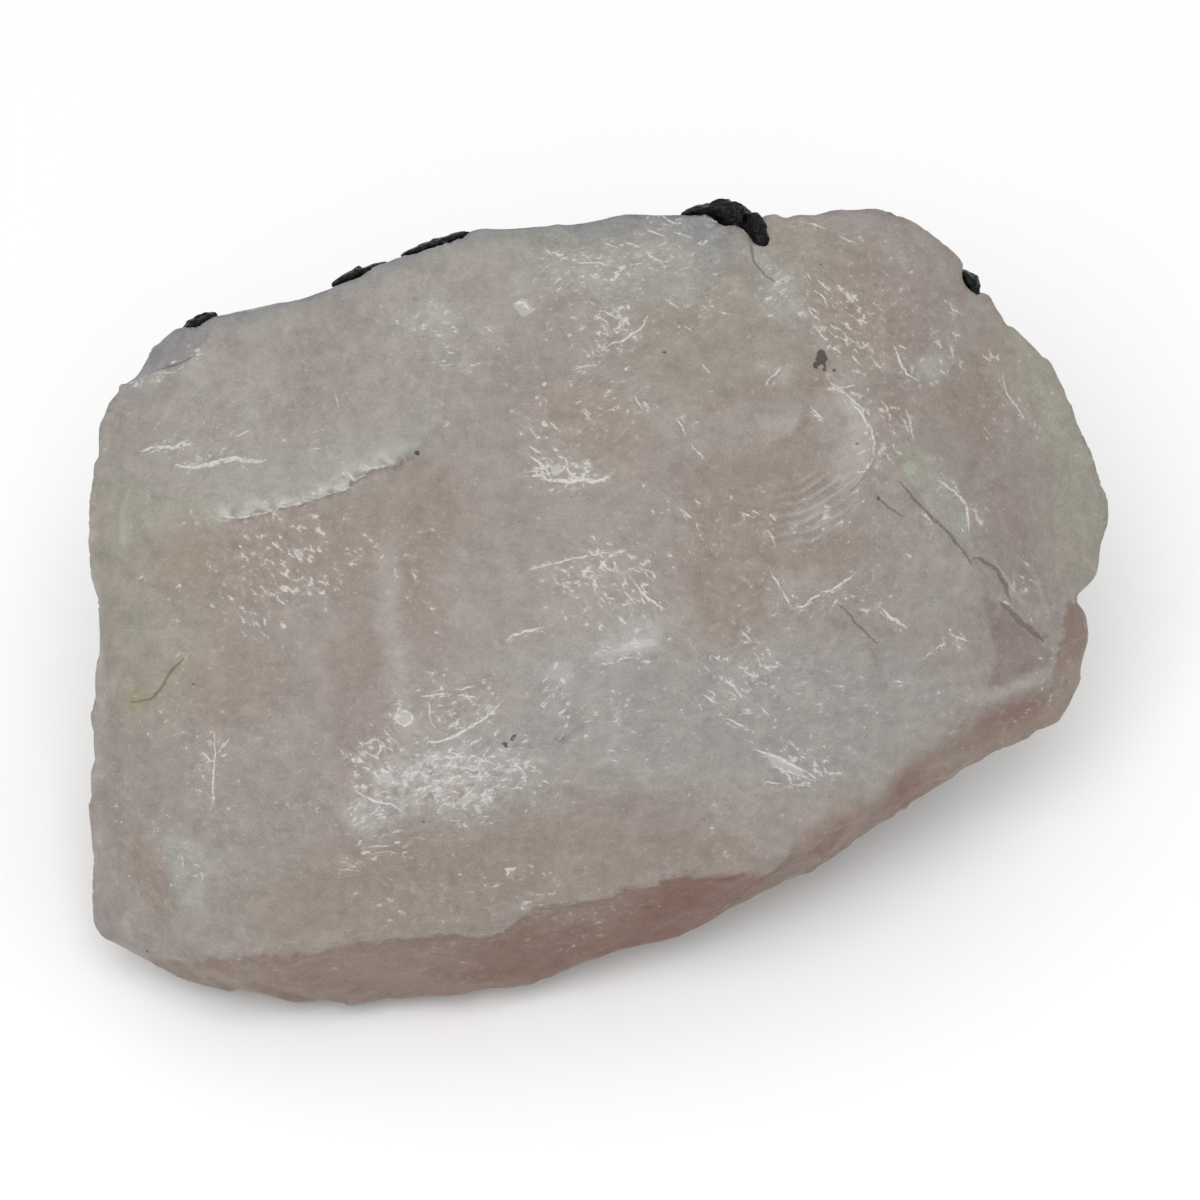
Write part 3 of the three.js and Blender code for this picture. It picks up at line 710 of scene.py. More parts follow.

# The quartz: its fine marks
# White glints along small cracks and steps, which are painted highlights in the base colour, dark cracks,
# flakes that let the light through, painted lighter as highlights, and grains of other minerals. Each is
# kept as a distance, so that its edge is drawn sharp between the points.
GLINTS = [
    # half width in millimetres, and line
    (0.20, STEP_LEFT), (0.26, STEP_RIGHT), (0.10, [(-44.6, 14.5), (-43.9, 14.7), (-43.2, 15.0)]),
    (0.16, CORNER_EDGE),
    (0.26, LEDGE[:5]), (0.16, [(-24.8, 12.5), (-24.2, 11.9), (-23.3, 12.4), (-22.8, 13.0), (-21.4, 13.4)]),
    (0.15, [(-35.6, 16.3), (-34.8, 16.7)]), (0.10, [(-26.2, 20.3), (-26.0, 19.3)]),
    (0.10, [(-28.4, 15.0), (-27.7, 15.0)]),
    (0.22, [(-8.4, 29.2), (-7.6, 29.6), (-7.0, 28.7)]), (0.12, [(-4.8, 34.4), (-4.0, 34.1)]),
    (0.13, [(-2.4, 33.3), (-0.8, 33.2), (0.5, 32.9)]), (0.12, [(0.4, 35.2), (1.4, 34.8)]),
    (0.16, [(2.4, 35.0), (3.6, 34.7)]),
    (0.12, [(0.1, 28.6), (1.2, 28.0), (2.1, 27.7)]),
    (0.15, [(0.1, 24.9), (1.2, 25.5), (2.3, 25.5), (3.2, 26.4), (4.0, 27.0), (4.4, 27.7)]),
    (0.12, [(-2.7, 22.8), (-1.6, 23.2), (-0.7, 23.3)]), (0.12, [(3.3, 20.1), (4.0, 19.1)]),
    (0.12, [(-1.8, 18.7), (-1.1, 18.0)]),
    (0.12, [(-7.0, 16.9), (-6.5, 16.3)]), (0.12, [(-7.1, 15.2), (-6.1, 14.6)]),
    (0.18, [(-6.8, 14.2), (-6.0, 13.4), (-5.2, 12.4)]),
    (0.30, [(-5.2, 12.0), (-3.0, 11.7), (-1.5, 12.0), (-0.8, 11.6), (0.5, 12.2)]),
    (0.16, [(-4.3, 14.3), (-3.4, 13.9), (-3.2, 12.8), (-2.8, 12.2)]),
    (0.12, [(20.0, 32.3), (20.4, 31.7)]), (0.14, [(20.8, 30.5), (21.6, 29.9), (21.9, 28.9)]),
    (0.14, [(21.2, 31.5), (22.1, 30.5)]),
    (0.16, [(20.3, 37.2), (21.9, 36.7)]), (0.12, [(20.2, 28.9), (20.6, 28.1)]),
    (0.12, [(20.9, 27.1), (21.9, 25.9)]),
    (0.16, [(28.7, 24.9), (29.5, 23.0), (30.0, 22.4), (30.9, 21.7)]), (0.12, [(22.5, 21.6), (24.8, 19.6)]),
    (0.14, [(23.1, 21.0), (24.6, 21.2)]),
    (0.30, CRESCENT[1:7]), (0.14, [(24.4, 19.4), (25.5, 18.3)]), (0.14, [(16.4, 21.9), (17.4, 23.0)]),
    (0.14, [(7.4, 17.9), (8.2, 16.6)]),
    (0.10, [(8.7, 17.4), (9.5, 17.8)]), (0.12, [(8.9, 15.5), (10.0, 14.0)]),
    (0.14, [(20.4, 19.3), (21.6, 18.0)]),
    (0.16, [(24.2, 25.9), (24.6, 25.6)]), (0.16, [(25.4, 25.4), (25.8, 25.0)]),
    (0.14, [(26.8, 23.7), (27.0, 23.3)]),
    (0.16, [(25.0, 23.5), (25.3, 23.2)]), (0.16, [(29.2, 25.1), (29.7, 24.8)]),
    (0.14, [(34.5, 28.8), (34.9, 28.5)]), (0.12, [(23.5, 35.7), (24.8, 35.1)]),
    (0.12, [(37.9, 24.7), (38.5, 23.6)]), (0.12, [(39.2, 22.1), (39.5, 20.5), (40.6, 19.0), (41.2, 18.0)]),
    (0.14, [(30.0, 18.4), (30.5, 16.2)]),
    (0.13, SCAR_HEAD), (0.14, [(31.2, 8.6), (32.1, 8.1)]),
    (0.15, [(34.2, -3.1), (35.0, -3.5), (35.7, -3.7)]), (0.12, [(32.9, -4.5), (33.7, -4.2)]),
    (0.28, [(27.8, -0.8), (28.5, -1.6), (29.6, -2.3)]), (0.12, [(28.7, -7.8), (29.6, -7.9)]),
    (0.14, [(17.8, 0.9), (18.2, -0.2)]),
    (0.20, [(18.7, -0.6), (19.8, -0.4), (20.5, 0.3), (21.3, 0.5)]),
    (0.20, [(21.8, 0.9), (22.8, 1.2), (23.6, 1.9), (24.5, 2.4)]), (0.15, [(16.7, 2.8), (17.5, 1.4)]),
    (0.12, [(13.6, -2.9), (14.6, -3.7)]), (0.16, [(11.1, -5.4), (11.5, -5.6)]),
    (0.12, [(13.7, -6.8), (14.7, -7.3)]), (0.14, [(12.2, -7.8), (13.3, -8.7)]),
    (0.12, [(10.1, -9.3), (11.3, -9.9)]), (0.14, [(12.4, -11.5), (13.9, -12.2)]),
    (0.10, [(13.7, -10.9), (14.7, -10.9)]), (0.10, [(15.7, -10.3), (16.2, -11.1)]),
    (0.12, [(7.7, 9.0), (8.3, 8.0)]), (0.12, [(13.7, 8.7), (14.7, 8.3)]),
    (0.12, [(16.2, 6.8), (16.9, 5.7)]), (0.16, [(3.2, 1.9), (3.8, 1.0), (4.8, 0.2), (6.1, -0.7)]),
    (0.12, [(2.3, 1.0), (3.2, 0.0)]), (0.12, [(-7.0, 3.2), (-4.8, 3.8), (-1.5, 4.5), (2.0, 5.2)]),
    (0.20, [(-9.0, -3.3), (-7.6, -2.9), (-6.0, -2.6)]),
    (0.14, [(-17.6, -9.2), (-15.0, -9.0)]), (0.14, [(-14.1, -8.5), (-12.7, -8.2)]),
    (0.12, [(-13.9, -9.0), (-12.5, -9.3)]),
    (0.20, [(-16.9, -13.9), (-15.0, -13.4), (-13.5, -12.5), (-11.5, -11.5), (-10.2, -10.2)]),
    (0.12, [(-17.0, -9.9), (-16.8, -11.7)]),
    (0.15, [(-20.5, -11.2), (-19.9, -10.5), (-18.9, -10.9), (-18.5, -11.6), (-19.2, -12.4), (-20.0, -11.9),
        (-20.5, -11.2)]),
    (0.13, [(-23.1, -13.7), (-22.0, -13.2), (-21.5, -14.2), (-22.3, -15.1), (-23.3, -14.4)]),
    (0.10, [(-21.3, -12.6), (-20.1, -13.8)]),
    (0.12, [(-21.3, -15.7), (-20.6, -16.7)]),
    (0.22, [(-23.8, -18.9), (-22.5, -19.5), (-20.7, -19.8), (-19.9, -20.3)]),
    (0.13, [(-14.4, -19.7), (-12.6, -18.1)]), (0.12, [(-13.9, -20.2), (-12.1, -18.7)]),
    (0.13, [(-12.5, -15.1), (-10.7, -15.9)]), (0.12, [(-8.5, -15.9), (-7.3, -17.0)]),
    (0.10, [(-23.6, -24.1), (-20.4, -24.0)]), (0.10, [(-22.6, -24.7), (-19.8, -24.6)]),
    (0.10, [(-25.9, -26.3), (-23.7, -26.4)]), (0.10, [(-14.9, -21.3), (-13.9, -21.4)]),
    (0.14, [(-39.2, -14.7), (-38.0, -15.7)]), (0.14, [(-38.0, -12.9), (-38.0, -16.0), (-38.1, -19.6)]),
    (0.12, [(-37.7, -14.6), (-36.6, -13.6)]),
    (0.12, [(-41.3, -25.0), (-41.3, -25.8)]), (0.12, [(-39.3, -26.5), (-39.3, -27.3)]),
    (0.20, [(15.2, -14.5), (18.0, -15.6), (20.8, -17.1)]),
    (0.12, [(17.0, -16.0), (20.5, -17.4)]), (0.10, [(15.9, -17.6), (17.7, -17.7)]),
    (0.10, [(18.8, -17.9), (20.2, -18.0)]), (0.10, [(22.1, -16.6), (23.3, -16.8)]),
    (0.14, [(-41.0, -5.8), (-40.7, -5.4)]), (0.14, [(8.2, 38.2), (9.6, 37.9), (11.0, 37.3)]),
    (0.12, [(6.0, 37.6), (7.4, 37.0)]),
    (0.12, [(4.6, 36.4), (6.2, 35.9)]), (0.10, [(7.2, 36.2), (8.9, 35.6)]),
    (0.10, [(-11.5, 27.0), (-10.6, 26.4)]), (0.10, [(6.2, 29.6), (7.3, 29.0)]),
    (0.10, [(9.8, 23.2), (10.6, 22.4)]),
]
CRACKS = [
    (0.20, CRACK), (0.13, SCAR_FOOT), (0.12, FAN_HEAD), (0.12, VEIN[:4]),
    (0.10, [(-43.5, 22.7), (-41.5, 23.5), (-40.2, 24.2)]),
    (0.12, CREASE), (0.10, [(27.2, 10.1), (29.2, 8.5)]), (0.10, [(23.3, -0.5), (25.5, -2.6), (26.8, -4.0)]),
]
LINE_SLIMMING = 0.62  # glints are drawn this much thinner than listed, as their light spreads
LINE_REACH = 1.0  # past this many millimetres from a line no part of it is drawn


def drawn(lines, layers):
    """Each line's side distance and half width, on the first layer where no other line is near it.

    Half widths shrink away from the line, so that nothing is drawn beyond a line's ends or halfway
    between two of them."""
    distance = np.full((layers, len(stone)), LINE_REACH)
    width = np.full((layers, len(stone)), -1.0)
    for half_width, line in lines:
        away, side, share = from_line(close, line, LINE_REACH)
        near = away < LINE_REACH
        clashes = [np.count_nonzero(near & (np.abs(layer) < LINE_REACH)) for layer in distance]
        layer = int(np.argmin(clashes))
        chosen = near & (away < np.abs(distance[layer]))
        taper = half_width * (0.55 + 0.45 * np.sin(np.pi * share)) - 2.0 * np.clip(away - 0.4, 0, None)
        distance[layer][chosen] = (away * side)[chosen]
        width[layer][chosen] = np.where(front > 0.2, taper, -1.0)[chosen]
    return distance, width


glint_away, glint_width = drawn([(width * LINE_SLIMMING, line) for width, line in GLINTS], 3)
crack_away, crack_width = drawn(CRACKS, 1)

# flakes painted lighter than the stone round them: painted highlights
HIGHLIT_FLAKES = [
    [(-8.7, 29.0), (-8.0, 29.8), (-7.3, 30.1), (-6.9, 29.2), (-6.3, 28.6), (-7.7, 27.9)],
    [(-20.4, -11.2), (-19.9, -10.6), (-18.9, -11.0), (-18.6, -11.6), (-19.2, -12.3), (-20.0, -11.9)],
    [(-14.3, -19.6), (-12.7, -18.3), (-12.3, -18.9), (-13.9, -20.0)],
    [(-40.1, 14.0), (-39.6, 14.5), (-39.0, 14.1), (-39.5, 13.8)],
    [(0.6, -4.9), (2.5, -3.9), (4.9, -3.6), (5.4, -4.4), (3.0, -4.7)],
    [(15.6, -14.9), (18.0, -15.4), (20.4, -17.2), (17.2, -16.2)],
    [(-1.9, 19.2), (-0.9, 18.6), (-1.4, 17.9)], [(30.0, 23.4), (30.9, 23.0), (30.5, 22.2)],
    [(24.6, 20.6), (25.6, 20.2), (25.2, 19.6)],
    [(-22.6, -17.2), (-21.0, -16.4), (-20.2, -17.4), (-21.8, -18.1)],
    [(-18.2, -15.4), (-16.4, -15.1), (-16.9, -16.1)],
    [(-5.2, 13.1), (-4.2, 13.6), (-3.6, 12.5), (-4.8, 12.3)], [(21.1, 27.4), (22.2, 27.0), (21.7, 26.2)],
    [(-38.9, -13.6), (-38.1, -13.2), (-38.3, -14.4)],
    [(-10.0, -16.6), (-8.6, -16.2), (-8.9, -17.2)], [(17.4, 32.6), (18.6, 31.9), (18.0, 31.2)],
    [(2.6, 34.3), (4.2, 34.1), (3.6, 33.6)],
]
GRAINS = [
    # middle, half sizes and tilt of the small dark grains
    ((6.1, 24.5), (0.22, 0.20), 0), ((7.5, 22.3), (0.20, 0.18), 0), ((10.2, 13.0), (0.22, 0.20), 0),
    ((-0.2, 16.4), (0.18, 0.20), 0),
    ((27.2, 10.1), (0.20, 0.18), 0), ((21.5, 33.1), (0.22, 0.18), 0), ((-36.5, -5.1), (0.20, 0.20), 0),
    ((-40.0, -8.0), (0.18, 0.18), 0),
    ((-31.5, -11.3), (0.20, 0.18), 0), ((-44.7, -34.5), (0.22, 0.20), 0),
    ((-17.2, -21.5), (0.55, 0.16), 10), ((2.4, 18.7), (0.18, 0.16), 0),
    ((-18.2, 14.6), (0.30, 0.24), 30), ((25.1, 15.7), (0.26, 0.24), 0),
    ((21.5, 24.1), (0.55, 0.75), 20), ((21.8, 22.8), (0.24, 0.22), 0), ((22.7, 22.8), (0.22, 0.20), 0),
    ((20.9, 23.3), (0.30, 0.45), 15),
]
flake = np.full(len(stone), -0.5)
for ring in HIGHLIT_FLAKES:
    flake = np.maximum(flake, np.clip(inside_ring(close, ring, 1.0), -0.5, 0.5))
grain = np.full(len(stone), -0.5)
for ring in [
    [(-9.9, -14.0), (-9.5, -13.6), (-9.1, -13.8), (-9.0, -14.1), (-9.5, -14.2)],
    [(-9.0, -13.4), (-8.6, -12.9), (-8.2, -12.6), (-8.4, -13.2), (-8.7, -13.5)],
]:
    grain = np.maximum(grain, np.clip(inside_ring(close, ring, 1.0), -0.5, 0.5))
for middle, half, tilt in GRAINS:
    turn = math.radians(tilt)
    offset = close - np.array(middle)
    along = (offset[:, 0] * math.cos(turn) + offset[:, 1] * math.sin(turn)) / half[0]
    across = (offset[:, 1] * math.cos(turn) - offset[:, 0] * math.sin(turn)) / half[1]
    grain = np.maximum(grain, np.clip((1 - np.hypot(along, across)) * min(half), -0.5, 0.5))
flake = np.where(front > 0.2, flake, -0.5)
grain = np.where(front > 0.2, grain, -0.5)

# Hair-fine glints, painted highlights too many to place one by one, lie in patches, in three directions.
WISPS = {
    "level": [
        ((-15, -18), (9, 4), 0.55), ((2, 33), (8, 3), 0.6), ((-14, 25.5), (6, 3), 0.5),
        ((-2, 2), (6, 5), 0.55), ((-16, -9), (6, 3), 0.55), ((-22, -24), (6, 2), 0.5),
        ((-14, -17), (10, 3), 0.75), ((20, -9), (8, 4), 0.45), ((-4, 12.5), (4, 2), 0.85),
        ((-8, -28), (9, 3), 0.45), ((4, -12), (8, 4), 0.4),
        ((-28, 8), (6, 1.5), 0.4), ((24, 0), (5, 2), 0.5), ((-34, -20), (5, 4), 0.35),
        ((2, -5), (5, 2), 0.6),
    ],
    "fall": [
        ((-15, -18), (9, 4), 0.5), ((2, 2), (6, 5), 0.7), ((-30, 4), (8, 5), 0.62),
        ((8.5, 37), (5, 1.8), 0.62), ((-34, 1), (5, 6), 0.55), ((-29, 3), (3, 4), 0.6),
        ((0, 27), (5, 4), 0.55), ((4, 1), (3, 2), 0.6), ((24, 27), (5, 6), 0.6),
        ((21, 31), (1.5, 2.5), 0.7),
        ((14, -8), (6, 5), 0.55), ((20, -15), (5, 2.5), 0.65), ((41, 2), (3, 4), 0.5),
        ((-22, -15), (4, 3), 0.65), ((28, 17), (3, 5), 0.6),
        ((-18, 3), (3, 6), 0.4), ((34, 24), (3, 4), 0.45), ((10, 8), (5, 5), 0.4), ((-6, 18), (4, 6), 0.45),
        ((38, 16), (3, 6), 0.4),
    ],
    "rise": [
        ((-15, -18), (9, 4), 0.58), ((-4, -9), (4, 4), 0.55), ((0, 20), (5, 5), 0.5),
        ((2, 27), (4, 2.5), 0.6), ((-14, -16), (8, 4), 0.7), ((-23, -20), (3, 2), 0.75),
        ((25, 13), (2, 4), 0.5), ((-13, -11), (5, 3), 0.6),
        ((2, -11), (1.5, 2.5), 0.6), ((-16.5, 28), (2.5, 2), 0.6), ((17, 30.5), (1.6, 3), 0.65),
        ((21, 9), (3, 3), 0.5), ((-4, 32), (4, 3), 0.55),
        ((33, 10), (2, 4), 0.4), ((12, 33), (4, 2), 0.5), ((-40, -15), (3, 4), 0.45),
        ((28, 2), (5, 3), 0.4),
    ],
}
# they gather round each larger glint as well, in the direction nearest to its own
halos = np.zeros((3, len(stone)))
for _, line in GLINTS:
    way = np.array(line[-1]) - np.array(line[0])
    slope = math.degrees(math.atan2(way[1], way[0])) % 180
    k = 2 if 20 < slope < 90 else 1 if 90 <= slope < 160 else 0
    away = from_line(spread, line, 3.0)[0]
    halos[k] = np.maximum(halos[k], np.where(away < 3.0, np.exp(-(away / 1.1) ** 2), 0.0))
halos *= front
wisps = [
    np.where(front > 0.5, 0.12 + 0.25 * cloud[1], 0.08 + 0.42 * smooth_step(0.15, 0.6, cloud[k]))
    for k in (2, 3, 0)
]
for k, patches in enumerate(WISPS.values()):
    for middle, half, amount in patches:
        wisps[k] = np.maximum(wisps[k], amount * blot(spread, middle, half, 0, 0.8) * front)
    wisps[k] = np.maximum(wisps[k] * 1.15, 0.62 * halos[k])
# the whitish mottling is the stone's frosting, raised round the larger glints as a painted haze of their
# light
mottle = np.maximum((0.2 + 0.3 * smooth_step(0.0, 0.5, cloud[2])) * (1 - underside_shade), 0.6 * halos.max(0))
for middle, half, tilt, amount in [
    ((-16, -18), (9, 3.5), 25, 1.0), ((2, 33), (9, 4), 0, 0.8), ((-17, 28), (2.5, 2.5), 0, 0.9),
    ((18, 30), (3, 5), 35, 0.8), ((19, 35), (5, 3), -20, 0.6),
    ((3, -4), (5, 2), 10, 0.9), ((-4, -8), (2, 2), 0, 0.9), ((-3, 12.5), (4, 2), 0, 0.8),
    ((25, 18), (2, 4), 0, 0.7), ((20, 8), (4, 3), 0, 0.5),
    ((-31, 3), (6, 4), -20, 0.5), ((-39, -15), (2, 4), 0, 0.7), ((33, 9), (3, 4), -40, 0.7),
    ((12, -9), (6, 4), 0, 0.5),
]:
    mottle = np.maximum(mottle, amount * blot(spread, middle, half, tilt, 0.8) * front)
steep = np.clip(smooth_step(-43, -47, seen[:, 0]) + smooth_step(36, 42, seen[:, 0]) * smooth_step(-6, 0,
    seen[:, 1])
                + smooth_step(9, 16, seen[:, 1]) * smooth_step(-6, -12, seen[:, 0]), 0, 1)

mesh = bpy.data.meshes.new("rose_quartz_stone")
mesh.from_pydata(stone.tolist(), [], faces)
mesh.shade_smooth()


def keep_colour(name, red, green, blue, fourth):
    """Four values for every point, kept on the mesh as one colour attribute."""
    values = np.stack([red, green, blue, fourth], 1).astype(np.float32)
    mesh.attributes.new(name, "FLOAT_COLOR", "POINT").data.foreach_set("color", values.ravel())


keep_colour("tint", *np.clip(colour, 0.01, 0.9).T, mottle)
keep_colour("line_distances", *glint_away, crack_away[0])
keep_colour("line_widths", *glint_width, crack_width[0])
keep_colour("marks", flake, grain, steep, front)
keep_colour("wisps", *wisps, shattered)
quartz = bpy.data.objects.new("rose_quartz_stone", mesh)
bpy.context.scene.collection.objects.link(quartz)
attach(quartz, "root")
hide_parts("rose_quartz")

# The quartz: its material
# Milky quartz with a satin finish that lets a little light in. Its tints and marks come from the
# mesh; fine grain, hair-fine glints and mottling come from noise. The glints, and the haze round them,
# are painted highlights in the base colour.


def new_group(name, inputs, outputs):
    """An empty shader node group with these named inputs and outputs, each a name, kind and value."""
    group = bpy.data.node_groups.new(name, "ShaderNodeTree")
    for socket_name, kind, value in inputs:
        socket = group.interface.new_socket(socket_name, in_out="INPUT", socket_type=kind)
        if value is not None:
            socket.default_value = value
    for socket_name, kind in outputs:
        group.interface.new_socket(socket_name, in_out="OUTPUT", socket_type=kind)
    return group, group.nodes.new("NodeGroupInput"), group.nodes.new("NodeGroupOutput")


def feed(tree, value, socket):
    """A socket's value: linked if it's another socket, or else set."""
    if isinstance(value, bpy.types.NodeSocket):
        tree.links.new(value, socket)
    elif value is not None:
        socket.default_value = value


def maths(tree, operation, first, second=None):
    """A math node on two values, each a socket or a number."""
    node = tree.nodes.new("ShaderNodeMath")
    node.operation = operation
    feed(tree, first, node.inputs[0])
    feed(tree, second, node.inputs[1])
    return node.outputs[0]


def between(tree, value, low, high):
    """0 below low, 1 above high, and an S between them."""
    node = tree.nodes.new("ShaderNodeMapRange")
    node.interpolation_type = "SMOOTHSTEP"
    feed(tree, value, node.inputs["Value"])
    feed(tree, low, node.inputs["From Min"])
    feed(tree, high, node.inputs["From Max"])
    return node.outputs["Result"]


def scaled(tree, vector, scale):
    """Coordinates stretched by three numbers."""
    node = tree.nodes.new("ShaderNodeVectorMath")
    node.operation = "MULTIPLY"
    feed(tree, vector, node.inputs[0])
    node.inputs[1].default_value = scale
    return node.outputs[0]


def noise(tree, vector, scale, detail=2.0, roughness=0.5):
    """A noise texture on these coordinates, as a value round one half."""
    node = tree.nodes.new("ShaderNodeTexNoise")
    feed(tree, vector, node.inputs["Vector"])
    node.inputs["Scale"].default_value = scale
    node.inputs["Detail"].default_value = detail
    node.inputs["Roughness"].default_value = roughness
    return node.outputs["Fac"]


def blend_colour(tree, share, first, second):
    """Two colours mixed by a share; each is a socket or a colour."""
    node = tree.nodes.new("ShaderNodeMix")
    node.data_type = "RGBA"
    feed(tree, share, node.inputs["Factor"])
    for socket, value in zip((node.inputs[6], node.inputs[7]), (first, second)):
        feed(tree, value if isinstance(value, bpy.types.NodeSocket) else (*value, 1.0), socket)
    return node.outputs[2]


def attribute_of(tree, name):
    """One of the colour attributes that the mesh carries, as its node."""
    node = tree.nodes.new("ShaderNodeAttribute")
    node.attribute_name = name
    return node


def parts_of(tree, socket):
    """The three parts of a colour or vector socket."""
    node = tree.nodes.new("ShaderNodeSeparateXYZ")
    tree.links.new(socket, node.inputs[0])
    return node.outputs


# A line is drawn where the distance to it, shaken a little, is less than its half width.
line_group, line_in, line_out = new_group(
    "drawn line",
    [("Distance", "NodeSocketFloat", 1.0), ("Half Width", "NodeSocketFloat", 0.0),
        ("Shake", "NodeSocketFloat", 0.0)],
    [("Mask", "NodeSocketFloat")],
)
shaken = maths(line_group, "ADD", line_in.outputs["Distance"], line_in.outputs["Shake"])
under = maths(line_group, "SUBTRACT", line_in.outputs["Half Width"], maths(line_group, "ABSOLUTE", shaken))
line_group.links.new(between(line_group, under, -0.06, 0.07), line_out.inputs["Mask"])

# A wisp, a hair-fine painted glint, is a short stretch of the line where drawn-out noise passes through its
# middle value. Another noise cuts that line into stretches, and leaves more of it where a larger amount is
# asked for.
wisp_group, wisp_in, wisp_out = new_group(
    "wisps",
    [("Vector", "NodeSocketVector", None), ("Turn", "NodeSocketFloat", 0.0),
        ("Amount", "NodeSocketFloat", 0.3)],
    [("Mask", "NodeSocketFloat"), ("Glint Haze", "NodeSocketFloat")],
)
laid = wisp_group.nodes.new("ShaderNodeVectorRotate")
laid.rotation_type = "Z_AXIS"
wisp_group.links.new(wisp_in.outputs["Vector"], laid.inputs["Vector"])
wisp_group.links.new(wisp_in.outputs["Turn"], laid.inputs["Angle"])
drawn_out = scaled(wisp_group, laid.outputs["Vector"], (0.45, 1.15, 0.7))
field = noise(wisp_group, drawn_out, 1.0, 2.0, 0.5)
off_middle = maths(wisp_group, "ABSOLUTE", maths(wisp_group, "SUBTRACT", field, 0.5))
thin = maths(wisp_group, "SUBTRACT", 1.0, between(wisp_group, off_middle, 0.015, 0.055))
dashes = noise(wisp_group, scaled(wisp_group, laid.outputs["Vector"], (0.9, 1.2, 1.1)), 1.0, 3.0, 0.65)
limit = maths(wisp_group, "SUBTRACT", 0.75, maths(wisp_group, "MULTIPLY", wisp_in.outputs["Amount"], 0.34))
stretches = between(wisp_group, maths(wisp_group, "SUBTRACT", dashes, limit), 0.0, 0.05)
wisp_group.links.new(maths(wisp_group, "MULTIPLY", thin, stretches), wisp_out.inputs["Mask"])
# round the wisps the stone is painted whiter, in soft streaks that run their way: a painted haze of their
# light
soft_line = maths(wisp_group, "SUBTRACT", 1.0, between(wisp_group, off_middle, 0.0, 0.13))
wide_stretches = between(wisp_group, maths(wisp_group, "SUBTRACT", dashes, limit), -0.16, 0.10)
wisp_group.links.new(maths(wisp_group, "MULTIPLY", soft_line, wide_stretches), wisp_out.inputs["Glint Haze"])

quartz_material = bpy.data.materials.new("milky_rose_quartz")
quartz_material.use_nodes = True
tree = quartz_material.node_tree
shader = tree.nodes["Principled BSDF"]
coordinates = tree.nodes.new("ShaderNodeTexCoord").outputs["Object"]
on_face = tree.nodes.new("ShaderNodeVectorRotate")  # to the right, up and out of the main face
on_face.rotation_type = "X_AXIS"
on_face.inputs["Angle"].default_value = MAIN_FACE_RISE - math.pi / 2
tree.links.new(coordinates, on_face.inputs["Vector"])
face_mm = scaled(tree, on_face.outputs["Vector"], (1000.0, 1000.0, 1000.0))

tints = attribute_of(tree, "tint")
marks = attribute_of(tree, "marks")
flake_depth, grain_depth, steepness = parts_of(tree, marks.outputs["Vector"])
wisp_amounts = attribute_of(tree, "wisps")
distances = attribute_of(tree, "line_distances")
widths = attribute_of(tree, "line_widths")
shake = maths(tree, "MULTIPLY", maths(tree, "SUBTRACT", noise(tree, face_mm, 1.6, 3.0, 0.7), 0.5), 0.35)

# grain, mottling and streaks vary the tint
fine = noise(tree, face_mm, 6.0, 2.0, 0.6)
middling = noise(tree, face_mm, 1.1, 3.0, 0.6)
warp = tree.nodes.new("ShaderNodeTexNoise")
tree.links.new(face_mm, warp.inputs["Vector"])
warp.inputs["Scale"].default_value = 0.22
warped = tree.nodes.new("ShaderNodeVectorMath")
warped.operation = "MULTIPLY_ADD"
tree.links.new(warp.outputs["Color"], warped.inputs[0])
warped.inputs[1].default_value = (5.0, 5.0, 5.0)
tree.links.new(face_mm, warped.inputs[2])
level_streaks = noise(tree, scaled(tree, warped.outputs[0], (0.22, 1.1, 0.8)), 1.0, 3.0, 0.6)
steep_streaks = noise(tree, scaled(tree, warped.outputs[0], (1.2, 0.2, 0.9)), 1.0, 3.0, 0.6)
veils = noise(tree, warped.outputs[0], 0.42, 3.0, 0.6)
streaks = tree.nodes.new("ShaderNodeMix")
tree.links.new(steepness, streaks.inputs["Factor"])
tree.links.new(level_streaks, streaks.inputs[2])
tree.links.new(steep_streaks, streaks.inputs[3])
FINE_SWING, MIDDLING_SWING, STREAK_SWING, VEIL_SWING = 0.52, 0.34, 0.30, 0.56
swing = maths(tree, "MULTIPLY", maths(tree, "SUBTRACT", fine, 0.5), FINE_SWING)
swing = maths(tree, "ADD", swing,
    maths(tree, "MULTIPLY", maths(tree, "SUBTRACT", middling, 0.5), MIDDLING_SWING))
swing = maths(tree, "ADD", swing,
    maths(tree, "MULTIPLY", maths(tree, "SUBTRACT", streaks.outputs[0], 0.5), STREAK_SWING))
swing = maths(tree, "ADD", swing, maths(tree, "MULTIPLY", maths(tree, "SUBTRACT", veils, 0.5), VEIL_SWING))
brightness = maths(tree, "ADD", swing, 1.0)
varied = tree.nodes.new("ShaderNodeVectorMath")
varied.operation = "SCALE"
tree.links.new(tints.outputs["Color"], varied.inputs[0])
tree.links.new(brightness, varied.inputs["Scale"])
base = varied.outputs[0]

# whitish mottling, in small ragged patches: the stone's frosting, and round the glints a painted haze of
# their light
ragged = noise(tree, face_mm, 1.7, 4.0, 0.7)
mottled = between(tree, maths(tree, "ADD", ragged, maths(tree, "MULTIPLY", tints.outputs["Alpha"], 0.16)),
    0.62, 0.78)
base = blend_colour(tree, maths(tree, "MULTIPLY", mottled, 0.55), base, tuple(tint(196, 193, 190)))
# the flakes are painted lighter: painted highlights
flake_highlights = between(tree, maths(tree, "ADD", flake_depth, shake), -0.03, 0.06)
base = blend_colour(tree, maths(tree, "MULTIPLY", flake_highlights, 0.6), base, tuple(tint(205, 203, 201)))
